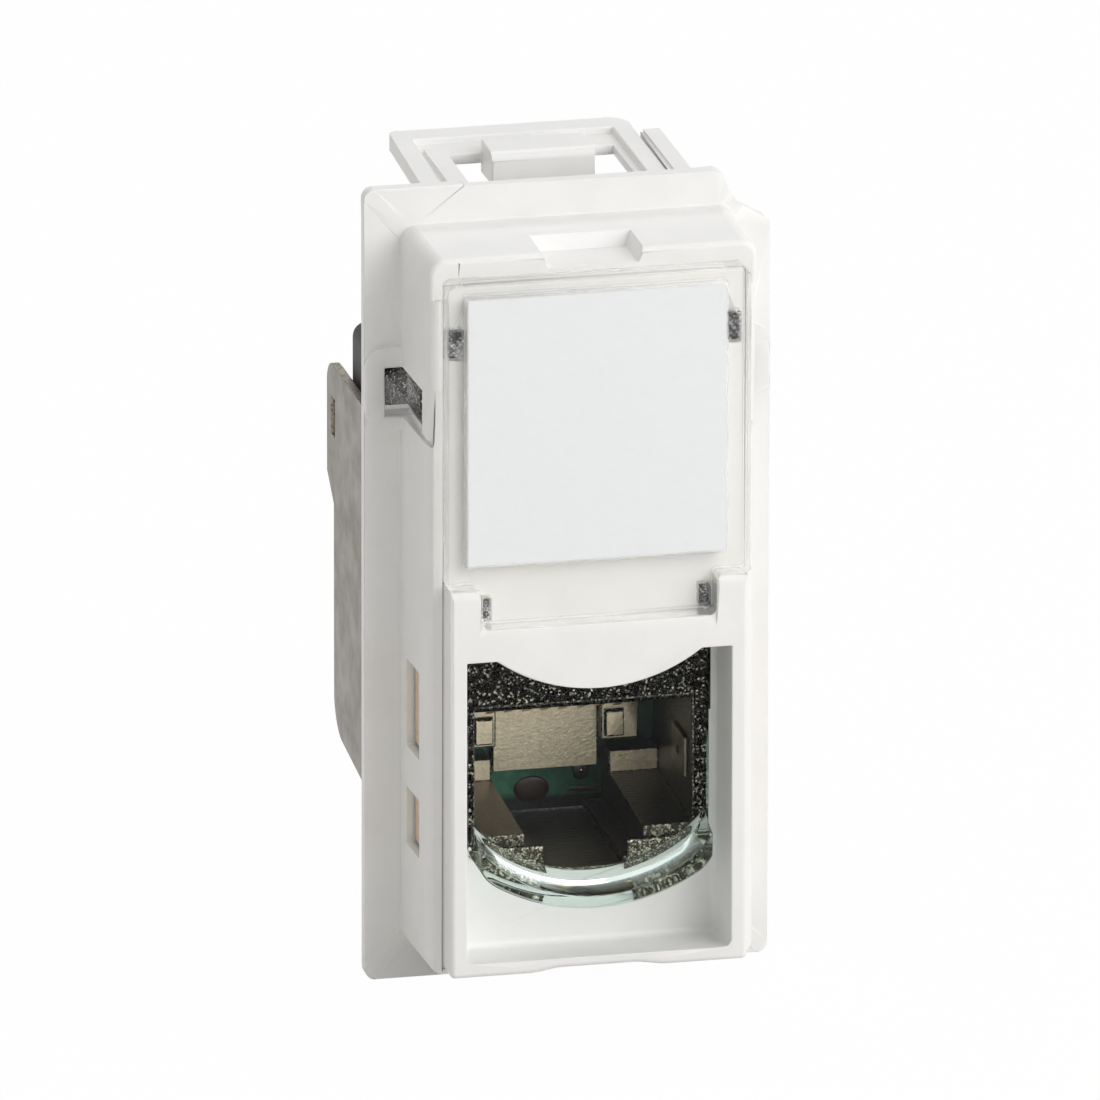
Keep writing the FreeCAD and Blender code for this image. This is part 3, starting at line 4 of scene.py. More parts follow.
import bmesh
import bpy
import numpy as np
from mathutils import Matrix, Vector

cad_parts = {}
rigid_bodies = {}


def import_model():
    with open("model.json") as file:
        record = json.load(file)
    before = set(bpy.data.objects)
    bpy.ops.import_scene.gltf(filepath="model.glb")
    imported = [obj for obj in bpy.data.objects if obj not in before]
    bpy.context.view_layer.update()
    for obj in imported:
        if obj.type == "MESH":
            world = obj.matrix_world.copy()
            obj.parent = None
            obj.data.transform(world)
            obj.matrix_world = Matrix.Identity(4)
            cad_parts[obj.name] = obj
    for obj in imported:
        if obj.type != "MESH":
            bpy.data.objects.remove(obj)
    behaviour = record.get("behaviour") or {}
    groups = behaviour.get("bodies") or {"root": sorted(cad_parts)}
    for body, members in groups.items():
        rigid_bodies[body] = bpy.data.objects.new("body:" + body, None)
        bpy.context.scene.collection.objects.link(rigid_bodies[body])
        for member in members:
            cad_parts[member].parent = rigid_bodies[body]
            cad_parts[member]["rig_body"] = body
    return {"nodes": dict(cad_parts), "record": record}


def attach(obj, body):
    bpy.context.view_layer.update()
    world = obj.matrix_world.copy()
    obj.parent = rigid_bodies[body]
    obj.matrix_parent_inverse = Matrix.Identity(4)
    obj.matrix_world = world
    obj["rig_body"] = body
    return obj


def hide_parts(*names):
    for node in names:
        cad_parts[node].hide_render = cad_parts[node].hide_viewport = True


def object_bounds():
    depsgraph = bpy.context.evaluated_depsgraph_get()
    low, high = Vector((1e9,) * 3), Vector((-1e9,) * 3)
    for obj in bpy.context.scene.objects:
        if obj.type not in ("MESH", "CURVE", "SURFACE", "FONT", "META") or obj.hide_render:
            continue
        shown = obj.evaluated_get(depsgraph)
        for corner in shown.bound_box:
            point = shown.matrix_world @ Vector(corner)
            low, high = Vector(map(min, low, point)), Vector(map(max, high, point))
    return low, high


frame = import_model()
cad_low, cad_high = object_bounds()

MM = 0.001
NODES = frame["nodes"]
SLOT_OF = {row["node"]: row["material_slot"] for row in frame["record"]["subparts"]}

# Camera: direction and distance fitted to the flange, in degrees, millimetres and pixels of the photo
PHOTO_PIXELS = 1100
CAMERA_TURN = 12.745
CAMERA_RISE = 18.004
CAMERA_ROLL = 0.072
CAMERA_DISTANCE = 1400.0
FOCAL_PIXELS = 25791.2
ORIGIN_RIGHT = 16.9
ORIGIN_DOWN = 23.8
SENSOR = 36.0

# Light: reflected brightness that a white surface would have, and what carries it
KEY_TOWARDS = (0.50, -0.62, 0.44)
KEY_LEVEL = 0.65
KEY_DISTANCE = 0.5
KEY_SIZE = 0.42
FILL_TOWARDS = (-0.95, 0.2, 0.1)
FILL_LEVEL = 0.055
FILL_COLOUR = (1.0, 0.96, 0.88)
FILL_DISTANCE = 0.6
FILL_SIZE = 0.5
TOP_TOWARDS = (0.21, 0.53, 0.83)
TOP_LEVEL = 0.14
TOP_DISTANCE = 0.5
TOP_SIZE = 0.13
SKY_FRONT = 0.42
SKY_BACK = 0.62

# Floor and backdrop: colour, half depth, radius and steps of the sweep, wall's height, share shown as white
FLOOR_COLOUR = (0.72, 0.7, 0.665)
FLOOR_HALF = 1.5
FLOOR_CURVE = 0.6
FLOOR_STEPS = 25
BACKDROP_HEIGHT = 1.2
WHITE_SHARE = 0.985

# Rounding of each node's sharp edges, in millimetres
EDGE = {
    "mounting_frame": 0.09,
    "front_bezel": 0.09,
    "label_window": 0.08,
    "label_card": 0.02,
    "jack_shell": 0.07,
    "contact_carrier": 0.03,
    "circuit_board": 0.04,
    "idc_block": 0.08,
    "wire_manager": 0.1,
    "shield_collar": 0.08,
    "left_cover": 0.05,
    "right_cover": 0.05,
    "hinge_pin_left": 0.06,
    "hinge_pin_right": 0.06,
    "shield_spring_left": 0.03,
    "shield_spring_right": 0.03,
}
CONTACT_EDGE = 0.04
BLADE_EDGE = 0.05

# Least turn of a rounded edge in degrees, its least length in roundings, and the gap in metres that is closed
SHARP_ANGLE = 32.0
EDGE_SPAN = 2.5
MERGE_GAP = 1e-7

# Clear plastic: how fast the absorbing colour takes hold, per metre
ABSORPTION = 90.0

# Clear plastic: Fresnel values between which its mirror image grows, and its shares at both ends
QUIET_FROM, QUIET_TO = 0.042, 0.09
QUIET_SHARE, WHOLE_SHARE = 0.2, 1.0

# Port: half width, depths of its front and back, height of its notch, half width of its keyway, how far out
# the shell's plain sides lie, lowest and highest Z, and the least share of a normal that counts as squarely
PORT_HALF = 6.1
PORT_ENTRY_Y = -3.7
PORT_BACK_Y = 3.9
NOTCH_TOP = -13.25
KEYWAY_HALF = 3.3
OUTER_FROM = 7.5
PORT_SPAN = (-15.6, -6.2)
LOOKS_ALONG = 0.8

# Board: heights over which painted shadow darkens it downwards, and distances over which painted shade
# darkens it to the right
BOARD_PAINTED_SHADOW = (-14.75, -14.35)
BOARD_PAINTED_SHADE = (-1.5, 2.5)

# Depths of the faces of the board and of the shelf above it
BOARD_FACE = 6.2
SHELF_FACE = 4.3

# Shutter: half widths, heights and depths of its plate, header and finger lip, and its roundings
SHUTTER_HALF = 6.72
SHUTTER_FRONT = -5.3
SHUTTER_REAR = -4.45
SHOULDER_HALF = 6.82
SHOULDER_Z = -6.5
HEADER_HALF = 7.55
HEADER_LOW = -1.9
HEADER_TOP = 0.6
LIP_HALF = 6.45
LIP_FRONT = -7.5
LIP_TOP = -15.15
LIP_TOP_RISE = 3.01
LIP_TOP_FALL = 0.78
LIP_LOW = -16.7
LIP_LOW_RISE = 2.15
LIP_FOOT_ROUND = 0.2
LIP_END_ROUND = 0.1
TOP_ROUND = 0.16
TOP_HOLLOW = 0.03
ROOT_ROUND = 0.14
FOOT_CORNER = 1.1
EDGE_ROUND = 0.1

# Shutter's grid: columns over half the lip, columns just past its end, rows up the plate, and the step in
# height over which the plate's width changes
LIP_COLUMNS = 54
PAST_LIP = (0.004, 0.06)
PLATE_ROWS = (0.1, 0.3, 0.6, 1.0)
WIDTH_STEP = 0.01

# Share of an arc's half width past which its height is held
ARC_HELD = 1.05

# Casting's face below the port: half widths, heights, depths, points along X and Z, and its waves' depth and
# their radians per millimetre along X and Z
APRON_IN = 2.35
APRON_OUT = 6.4
APRON_ABOVE_LIP = 0.25
APRON_TOP = -13.9
APRON_FACE = -4.38
APRON_BACK = -4.31
APRON_GRID = (25, 13)
APRON_WAVE = 0.01
APRON_WAVES = (8, 9)

# Low domes: points along each side of their grid, and the lift that keeps them clear of their face
DOME_GRID = 17
DOME_LIFT = 0.01

# Marks on the board and a shelf: X, Z, half width, half height, face, rise; tone; slot; and what holds them
BOARD_MARKS = [
    ("solder_pad", (-0.63, -14.2, 1.0, 0.75, BOARD_FACE, 0.12), "brown", "circuit_board", "circuit_board"),
    ("track_end", (2.35, -14.4, 1.03, 0.15, BOARD_FACE, 0.03), "brown", "circuit_board", "circuit_board"),
    ("eyelet_rim", (2.15, -13.4, 0.5, 0.5, BOARD_FACE, 0.1), "dark", "circuit_board", "circuit_board"),
    ("eyelet_core", (2.15, -13.3, 0.14, 0.14, BOARD_FACE, 0.16), "gold", "gold_contact", "circuit_board"),
    ("shelf_dot_1", (3.55, -11.96, 0.07, 0.07, SHELF_FACE, 0.05), "gold", "gold_contact", "jack_shell"),
    ("shelf_dot_2", (3.93, -11.96, 0.07, 0.07, SHELF_FACE, 0.05), "gold", "gold_contact", "jack_shell"),
    ("shelf_dot_3", (4.25, -11.96, 0.07, 0.07, SHELF_FACE, 0.05), "gold", "gold_contact", "jack_shell"),
]

# The two sides and the signs of their X
SIDES = (("left", -1), ("right", 1))

# Ends of the window's hooks and pegs in the tray: X, Z, half width and half height; depth; and roundness
HOOK_ENDS = {"upper": (7.675, 15.65, 0.38, 0.86), "lower": (6.075, 0.575, 0.33, 0.62)}
HOOK_END_FACE = -6.38
HOOK_ROUNDNESS = 0.3

# Strip that closes the seam beside the bezel's proud part: X and Z of its middle, half sizes and depth
SEAM_X = 8.27
SEAM_HALF = 0.07
SEAM_MIDDLE_Z = -8.98
SEAM_HALF_Z = 10.95
SEAM_FACE = -6.32

# Where the frame's wedge-shaped seam is too narrow to round, as lowest and highest X and Z
SEAM_ZONE = ((-8.0, -7.1), (17.0, 21.0))


def shader_of(name):
    """New material with a principled shader, and the three things that its builders need."""
    made = bpy.data.materials.new(name)
    made.use_nodes = True
    tree = made.node_tree
    shader = tree.nodes["Principled BSDF"]
    return made, tree, shader


def settings(shader, **values):
    """Sets sockets of a shader by name, with spaces written as underscores."""
    for key, value in values.items():
        shader.inputs[key.replace("_", " ")].default_value = value


def noise(tree, size, detail=3.0, roughness=0.55, stretch=(1, 1, 1)):
    """Noise on object coordinates, with lumps of about the given size in millimetres."""
    place = tree.nodes.new("ShaderNodeTexCoord")
    mapping = tree.nodes.new("ShaderNodeMapping")
    mapping.inputs["Scale"].default_value = stretch
    texture = tree.nodes.new("ShaderNodeTexNoise")
    texture.inputs["Scale"].default_value = 1 / (size * MM)
    texture.inputs["Detail"].default_value = detail
    texture.inputs["Roughness"].default_value = roughness
    tree.links.new(place.outputs["Object"], mapping.inputs["Vector"])
    tree.links.new(mapping.outputs["Vector"], texture.inputs["Vector"])
    return texture.outputs["Fac"]


def ramp(tree, value, stops):
    """Colours blended along a value, from (position, colour) stops."""
    node = tree.nodes.new("ShaderNodeValToRGB")
    elements = node.color_ramp.elements
    while len(elements) < len(stops):
        elements.new(0.5)
    for element, (position, colour) in zip(elements, stops):
        element.position = position
        element.color = (*colour, 1)
    tree.links.new(value, node.inputs["Fac"])
    return node.outputs["Color"]


def spread(tree, value, low, high, out_low, out_high):
    """A value stretched from one range to another and held at the ends."""
    node = tree.nodes.new("ShaderNodeMapRange")
    for key, number in zip(("From Min", "From Max", "To Min", "To Max"), (low, high, out_low, out_high)):
        node.inputs[key].default_value = number
    tree.links.new(value, node.inputs["Value"])
    return node.outputs["Result"]


def larger(tree, first, second):
    """The larger of two values."""
    node = tree.nodes.new("ShaderNodeMath")
    node.operation = "MAXIMUM"
    tree.links.new(first, node.inputs[0])
    tree.links.new(second, node.inputs[1])
    return node.outputs[0]


def bump(tree, shader, height, depth):
    """Relief of the given depth in millimetres, under what the shader already has."""
    node = tree.nodes.new("ShaderNodeBump")
    node.inputs["Strength"].default_value = 1.0
    node.inputs["Distance"].default_value = depth * MM
    tree.links.new(height, node.inputs["Height"])
    if shader.inputs["Normal"].links:
        tree.links.new(shader.inputs["Normal"].links[0].from_socket, node.inputs["Normal"])
    tree.links.new(node.outputs["Normal"], shader.inputs["Normal"])


def moulded(name, colour, roughness, mottle=0.02, gloss=0.5):
    """Moulded plastic: fine spark-eroded grain, and a very slight drift in tone."""
    made, tree, shader = shader_of(name)
    settings(shader, Roughness=roughness, Specular_IOR_Level=gloss)
    shade = [tuple(c * (1 - mottle) for c in colour), tuple(min(1, c * (1 + mottle)) for c in colour)]
    drift = ramp(tree, noise(tree, 3.0), [(0.3, shade[0]), (0.7, shade[1])])
    tree.links.new(drift, shader.inputs["Base Color"])
    bump(tree, shader, noise(tree, 0.05, 2.0), 0.002)
    return made


def paper(name, colour):
    """Matt card: short fibres across the sheet, and a faint tooth."""
    made, tree, shader = shader_of(name)
    settings(shader, Roughness=0.85, Specular_IOR_Level=0.2)
    pale = tuple(c * 0.975 for c in colour)
    fibre = noise(tree, 0.35, 4.0, 0.6, (1, 1, 3))
    tree.links.new(ramp(tree, fibre, [(0.35, pale), (0.65, colour)]), shader.inputs["Base Color"])
    bump(tree, shader, noise(tree, 0.1, 3.0), 0.004)
    return made


def quiet_reflection(tree, shader, tint, roughness, ior):
    """The shader with its mirror image held down where it is looked into squarely, whole towards the rim."""
    through = tree.nodes.new("ShaderNodeBsdfRefraction")
    through.inputs["Color"].default_value = (*tint, 1)
    through.inputs["Roughness"].default_value = roughness
    through.inputs["IOR"].default_value = ior
    tree.links.new(shader.inputs["Normal"].links[0].from_socket, through.inputs["Normal"])
    rim = tree.nodes.new("ShaderNodeFresnel")
    rim.inputs["IOR"].default_value = ior
    mix = tree.nodes.new("ShaderNodeMixShader")
    share = spread(tree, rim.outputs["Fac"], QUIET_FROM, QUIET_TO, QUIET_SHARE, WHOLE_SHARE)
    tree.links.new(share, mix.inputs["Fac"])
    tree.links.new(through.outputs["BSDF"], mix.inputs[1])
    tree.links.new(shader.outputs["BSDF"], mix.inputs[2])
    return mix.outputs["Shader"]


def clear_moulding(name, tint, through, ior, roughness=0.03, straight=0.0, absorbing=None):
    """Clear plastic: refracts where it is looked through, and lets light fall on what lies behind it.

    The straight share passes unbent, as through a thin wall; an absorbing colour tints the long ways through.
    """
    made, tree, shader = shader_of(name)
    settings(shader, Base_Color=(*tint, 1), Roughness=roughness, IOR=ior, Transmission_Weight=1.0)
    bump(tree, shader, noise(tree, 1.4, 2.0), 0.0015)
    passing = tree.nodes.new("ShaderNodeBsdfTransparent")
    passing.inputs["Color"].default_value = (*through, 1)
    path = tree.nodes.new("ShaderNodeLightPath")
    lighting = larger(tree, path.outputs["Is Shadow Ray"], path.outputs["Is Diffuse Ray"])
    mix = tree.nodes.new("ShaderNodeMixShader")
    tree.links.new(spread(tree, lighting, 0, 1, straight, 1), mix.inputs["Fac"])
    tree.links.new(quiet_reflection(tree, shader, tint, roughness, ior), mix.inputs[1])
    tree.links.new(passing.outputs["BSDF"], mix.inputs[2])
    output = tree.nodes["Material Output"]
    tree.links.new(mix.outputs["Shader"], output.inputs["Surface"])
    if absorbing:
        depth = tree.nodes.new("ShaderNodeVolumeAbsorption")
        depth.inputs["Color"].default_value = (*absorbing, 1)
        depth.inputs["Density"].default_value = ABSORPTION
        tree.links.new(depth.outputs["Volume"], output.inputs["Volume"])
    return made


def die_cast(name, ground, grain, share, size=0.1):
    """Granular plated die casting: real grain relief, with bright facets as painted glints scattered over a
    darker, rougher ground that is a painted dark reflection.
    """
    made, tree, shader = shader_of(name)
    settings(shader, Metallic=1.0)
    cells = tree.nodes.new("ShaderNodeTexVoronoi")
    cells.feature = "F1"
    cells.inputs["Scale"].default_value = 1 / (size * MM)
    place = tree.nodes.new("ShaderNodeTexCoord")
    tree.links.new(place.outputs["Object"], cells.inputs["Vector"])
    split = tree.nodes.new("ShaderNodeSeparateColor")
    tree.links.new(cells.outputs["Color"], split.inputs["Color"])
    middle = tuple(a * 0.8 + b * 0.07 for a, b in zip(ground, grain))
    # Colour stops: the near-black ground is a painted dark reflection, the bright grains painted glints
    stops = [
        (0.0, ground),
        (0.96 - 2 * share, ground),
        (1 - 1.6 * share, middle),
        (1 - share, middle),
        (1.0, grain),
    ]
    tone = ramp(tree, split.outputs["Red"], stops)
    cloud = ramp(tree, noise(tree, 0.5, 4.0), [(0.3, (0.5, 0.5, 0.5)), (0.72, (1, 1, 1))])
    mix = tree.nodes.new("ShaderNodeMix")
    mix.data_type = "RGBA"
    mix.blend_type = "MULTIPLY"
    mix.inputs["Factor"].default_value = 1.0
    tree.links.new(tone, mix.inputs["A"])
    tree.links.new(cloud, mix.inputs["B"])
    tree.links.new(mix.outputs["Result"], shader.inputs["Base Color"])
    rough = spread(tree, split.outputs["Green"], 0, 1, 0.22, 0.5)
    tree.links.new(rough, shader.inputs["Roughness"])
    bump(tree, shader, split.outputs["Blue"], 0.012)
    bump(tree, shader, noise(tree, 0.09, 4.0, 0.7), 0.02)
    return made


def satin_plating(name, colour, metallic, roughness, streaks=(1, 1, 1)):
    """Smoother plated casting inside the port: a fine orange peel, blotched where the plating pooled."""
    made, tree, shader = shader_of(name)
    settings(shader, Metallic=metallic, Roughness=roughness)
    dull = tuple(c * 0.8 for c in colour)
    blotches = noise(tree, 0.4, 5.0, 0.75, streaks)
    tree.links.new(ramp(tree, blotches, [(0.35, dull), (0.62, colour)]), shader.inputs["Base Color"])
    bump(tree, shader, noise(tree, 0.16, 3.0, 0.6, streaks), 0.035)
    return made


def plated_sheet(name, colour, roughness, grain_depth):
    """Rolled and plated sheet: fine roll lines along Z, dull patches and a slight orange peel."""
    made, tree, shader = shader_of(name)
    settings(shader, Metallic=1.0)
    dull = tuple(c * 0.86 for c in colour)
    patches = noise(tree, 1.6, 4.0)
    tree.links.new(ramp(tree, patches, [(0.35, dull), (0.65, colour)]), shader.inputs["Base Color"])
    rough = spread(tree, patches, 0.3, 0.7, roughness + 0.08, roughness - 0.04)
    tree.links.new(rough, shader.inputs["Roughness"])
    bump(tree, shader, noise(tree, 0.06, 2.0, 0.6, (1, 1, 0.15)), grain_depth * 0.4)
    bump(tree, shader, noise(tree, 0.3, 3.0), grain_depth)
    return made


def cut_edge(name, colour):
    """Sheared sheet edge: a burnished band broken by a coarse, torn one."""
    made, tree, shader = shader_of(name)
    settings(shader, Metallic=1.0)
    torn = noise(tree, 0.16, 4.0, 0.7)
    dark = tuple(c * 0.45 for c in colour)
    tree.links.new(ramp(tree, torn, [(0.38, dark), (0.6, colour)]), shader.inputs["Base Color"])
    tree.links.new(spread(tree, torn, 0.35, 0.65, 0.55, 0.25), shader.inputs["Roughness"])
    bump(tree, shader, torn, 0.03)
    return made


def solder_mask_with_painted_shade(name):
    """Green board lacquer over a weave of glass cloth, darker in patches; painted shadow blackens its lower
    rim and painted shade its right.
    """
    made, tree, shader = shader_of(name)
    settings(shader, Roughness=0.35)
    tone = ramp(tree, noise(tree, 0.8), [(0.35, (0.045, 0.19, 0.12)), (0.65, (0.09, 0.32, 0.2))])
    place = tree.nodes.new("ShaderNodeTexCoord")
    parts = tree.nodes.new("ShaderNodeSeparateXYZ")
    tree.links.new(place.outputs["Object"], parts.inputs["Vector"])
    # Painted shadow towards the lower rim and painted shade towards the right
    lower = spread(tree, parts.outputs["Z"], BOARD_PAINTED_SHADOW[0] * MM, BOARD_PAINTED_SHADOW[1] * MM, 1, 0)
    across = spread(tree, parts.outputs["X"], BOARD_PAINTED_SHADE[0] * MM, BOARD_PAINTED_SHADE[1] * MM, 0, 0.75)
    mix = tree.nodes.new("ShaderNodeMix")
    mix.data_type = "RGBA"
    tree.links.new(larger(tree, lower, across), mix.inputs["Factor"])
    tree.links.new(tone, mix.inputs["A"])
    # Near-black colour of the painted shadow and shade
    mix.inputs["B"].default_value = (0.006, 0.007, 0.007, 1)
    tree.links.new(mix.outputs["Result"], shader.inputs["Base Color"])
    bump(tree, shader, noise(tree, 0.2, 2.0, 0.5, (1, 1, 0.4)), 0.004)
    return made


def plated_wire(name, colour, roughness):
    """Plated contact metal: drawn along its length, with a few dull spots."""
    made, tree, shader = shader_of(name)
    settings(shader, Metallic=1.0)
    spots = noise(tree, 0.25, 3.0)
    dull = tuple(c * 0.8 for c in colour)
    tree.links.new(ramp(tree, spots, [(0.3, dull), (0.6, colour)]), shader.inputs["Base Color"])
    tree.links.new(spread(tree, spots, 0.3, 0.7, roughness + 0.1, roughness), shader.inputs["Roughness"])
    bump(tree, shader, noise(tree, 0.04, 2.0, 0.5, (1, 0.1, 1)), 0.001)
    return made


NICKEL = (0.19, 0.165, 0.131)
FINISH = {
    "white_plastic": moulded("satin_white", (0.89, 0.885, 0.87), 0.42),
    "label_card": paper("label_paper", (0.915, 0.93, 0.965)),
    "clear_plastic": clear_moulding(
        "clear_window",
        (0.995, 0.995, 0.99),
        (0.99, 0.99, 0.985),
        ior=1.4,
        roughness=0.06,
        straight=0.4,
    ),
    "tinted_clear": clear_moulding(
        "green_tinged_shutter",
        (0.98, 0.985, 0.98),
        (0.95, 0.955, 0.95),
        ior=1.38,
        absorbing=(0.5, 0.85, 0.75),
    ),
    # Die casting whose colour holds painted glints and a painted dark reflection
    "die_cast": die_cast("granular_die_casting_painted_glints", (0.007, 0.006, 0.005), (0.8, 0.73, 0.63), 0.13, 0.09),
    "sheet_metal": plated_sheet("satin_nickel_sheet", NICKEL, 0.33, 0.004),
    "beige_plastic": moulded("beige_insert", (0.5, 0.45, 0.36), 0.5),
    "ivory_plastic": moulded("ivory_block", (0.72, 0.7, 0.62), 0.45),
    "black_plastic": moulded("black_moulding", (0.03, 0.03, 0.032), 0.5, mottle=0.08, gloss=0.22),
    "circuit_board": solder_mask_with_painted_shade("board_lacquer_painted_shade"),
    "gold_contact": plated_wire("gold_plated_spring", (0.66, 0.48, 0.2), 0.2),
    "tinned_blade": plated_wire("tinned_blade", (0.7, 0.7, 0.68), 0.3),
    "pin_steel": plated_wire("drawn_pin", (0.5, 0.49, 0.47), 0.3),
}
# Paler die casting on the casting's bevelled edges: a painted highlight along them
PAINTED_EDGE_HIGHLIGHT = {
    "die_cast": die_cast("die_casting_painted_edge_highlight", (0.055, 0.047, 0.039), (0.68, 0.61, 0.52), 0.38),
}
# Paler, coarser die casting for the notch faces and the apron, with the same painted glints and dark
# reflection
NOTCH_CAST = die_cast("coarse_die_casting_painted_glints", (0.07, 0.056, 0.038), (0.75, 0.7, 0.58), 0.4, 0.1)
PORT_BACK = satin_plating("satin_port_back", (0.86, 0.71, 0.52), 0.85, 0.38)
# Near-black plating on the port's walls and floors: painted shade inside the port
PORT_WALL_SHADE = satin_plating("port_wall_painted_shade", (0.032, 0.025, 0.023), 0.7, 0.3, (0.25, 1, 1))
PORT_LEDGE = satin_plating("brown_port_ledge", (0.14, 0.112, 0.09), 0.8, 0.35)
# Flat grey speckled patches laid on the window's hook ends in the tray
HOOK_FACE = die_cast("grey_speckled_hook_end", (0.1, 0.1, 0.1), (0.9, 0.9, 0.9), 0.4, 0.12)
MARK_TONE = {
    "brown": moulded("flux_brown", (0.04, 0.017, 0.008), 0.3),
    "dark": moulded("dark_plating", (0.02, 0.02, 0.018), 0.3),
    "gold": FINISH["gold_contact"],
}
SHEARED = cut_edge("sheared_nickel_edge", (0.31, 0.277, 0.222))


def placed(name, data):
    """New object with the given data, in the scene."""
    made = bpy.data.objects.new(name, data)
    bpy.context.scene.collection.objects.link(made)
    return made


def smooth(mesh):
    """Shades all faces of a mesh smooth."""
    mesh.polygons.foreach_set("use_smooth", np.ones(len(mesh.polygons), bool))


def of_faces(mesh, what):
    """The normals or the centres of a mesh's faces, a row for each."""
    values = np.zeros(len(mesh.polygons) * 3)
    mesh.polygons.foreach_get(what, values)
    return values.reshape(-1, 3)


def joined_mesh(node, name):
    """The node's triangles with doubled points merged."""
    built = bmesh.new()
    built.from_mesh(NODES[node].data)
    bmesh.ops.remove_doubles(built, verts=built.verts, dist=MERGE_GAP)
    mesh = bpy.data.meshes.new(name)
    built.to_mesh(mesh)
    built.free()
    smooth(mesh)
    return mesh


def weigh_sharp_edges(mesh, edge):
    """Weighs for rounding the edges whose two faces turn sharply, and marks sharp those too short for it."""
    loop_edge = np.zeros(len(mesh.loops), int)
    mesh.loops.foreach_get("edge_index", loop_edge)
    sizes = np.zeros(len(mesh.polygons), int)
    mesh.polygons.foreach_get("loop_total", sizes)
    normals = of_faces(mesh, "normal")
    face_of_loop = np.repeat(np.arange(len(sizes)), sizes)
    order = np.argsort(loop_edge, kind="stable")
    first, second = order[0::2], order[1::2]
    turn = np.einsum("ij,ij->i", normals[face_of_loop[first]], normals[face_of_loop[second]])
    ends = np.zeros(2 * len(mesh.edges), int)
    mesh.edges.foreach_get("vertices", ends)
    place = np.zeros(3 * len(mesh.vertices))
    mesh.vertices.foreach_get("co", place)
    place = place.reshape(-1, 3)
    span = np.linalg.norm(place[ends[0::2]] - place[ends[1::2]], axis=1)
    hard = np.zeros(len(mesh.edges), bool)
    hard[loop_edge[first]] = turn < math.cos(math.radians(SHARP_ANGLE))
    weight = hard.astype(float)
    weight[span < EDGE_SPAN * edge * MM] = 0
    (x0, x1), (z0, z1) = SEAM_ZONE
    middle = (place[ends[0::2]] + place[ends[1::2]]) / (2 * MM)
    weight[(middle[:, 0] > x0) & (middle[:, 0] < x1) & (middle[:, 2] > z0) & (middle[:, 2] < z1)] = 0
    hard &= weight == 0
    mesh.attributes.new("sharp_edge", "BOOLEAN", "EDGE").data.foreach_set("value", hard)
    attribute = mesh.attributes.new("bevel_weight_edge", "FLOAT", "EDGE")
    attribute.data.foreach_set("value", weight)


def finished(node, edge, steps=2):
    """The node's own shape with its sharp edges rounded, in its record material, on its own body."""
    slot = SLOT_OF[node]
    mesh = joined_mesh(node, node + "_finished")
    weigh_sharp_edges(mesh, edge)
    mesh.materials.append(FINISH[slot])
    piece = placed(node + "_finished", mesh)
    rounding = piece.modifiers.new("edges", "BEVEL")
    rounding.width = edge * MM
    rounding.segments = steps
    rounding.limit_method = "WEIGHT"
    rounding.use_clamp_overlap = False
    rounding.face_strength_mode = "FSTR_ALL"
    # Die-cast bevels take the painted edge highlight material
    if slot in PAINTED_EDGE_HIGHLIGHT:
        mesh.materials.append(PAINTED_EDGE_HIGHLIGHT[slot])
        rounding.material = 1
    weights = piece.modifiers.new("flat faces stay flat", "WEIGHTED_NORMAL")
    weights.keep_sharp = True
    weights.use_face_influence = True
    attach(piece, NODES[node]["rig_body"])
    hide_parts(node)
    return piece


def shear_edges(piece):
    """Gives the sheared material to the faces of a sheet that don't look along X."""
    mesh = piece.data
    mesh.materials.append(SHEARED)
    aside = np.abs(of_faces(mesh, "normal")[:, 0]) < 0.5
    mesh.polygons.foreach_set("material_index", aside.astype(int))


def plate_port(piece):
    """Gives the port's back and ledges, the faces under its notch and the sides their platings, and its other
    inner faces a near-black plating that is painted shade.
    """
    mesh = piece.data
    back, wall, notch, ledge = range(len(mesh.materials), len(mesh.materials) + 4)
    for material in (PORT_BACK, PORT_WALL_SHADE, NOTCH_CAST, PORT_LEDGE):
        mesh.materials.append(material)
    x, y, z = of_faces(mesh, "center").T / MM
    facing = of_faces(mesh, "normal")
    front = facing[:, 1] < -LOOKS_ALONG
    upward = facing[:, 2] > LOOKS_ALONG
    sideways = np.abs(facing[:, 0]) > LOOKS_ALONG
    low, high = PORT_SPAN
    in_port = (np.abs(x) < PORT_HALF) & (y > PORT_ENTRY_Y) & (y < BOARD_FACE) & (z > low) & (z < high)
    index = np.zeros(len(mesh.polygons), int)
    # Inner faces that get no other plating get the painted shade
    index[in_port] = wall
    index[in_port & upward & (x < -KEYWAY_HALF)] = ledge
    index[in_port & front & (y > PORT_BACK_Y)] = back
    index[front & (y < PORT_ENTRY_Y) & (z < NOTCH_TOP)] = notch
    index[sideways & (np.abs(x) > OUTER_FROM) & (z < 0)] = back
    mesh.polygons.foreach_set("material_index", index)


def surface_piece(name, points, faces, slot, node, replacing=True, finish=None):
    """Smooth object from points in millimetres and faces, that rides a node's body or replaces the node."""
    mesh = bpy.data.meshes.new(name)
    mesh.from_pydata((points * MM).tolist(), [], faces.tolist())
    smooth(mesh)
    mesh.materials.append(finish or FINISH[slot])
    piece = placed(name, mesh)
    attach(piece, NODES[node]["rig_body"])
    if replacing:
        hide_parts(node)


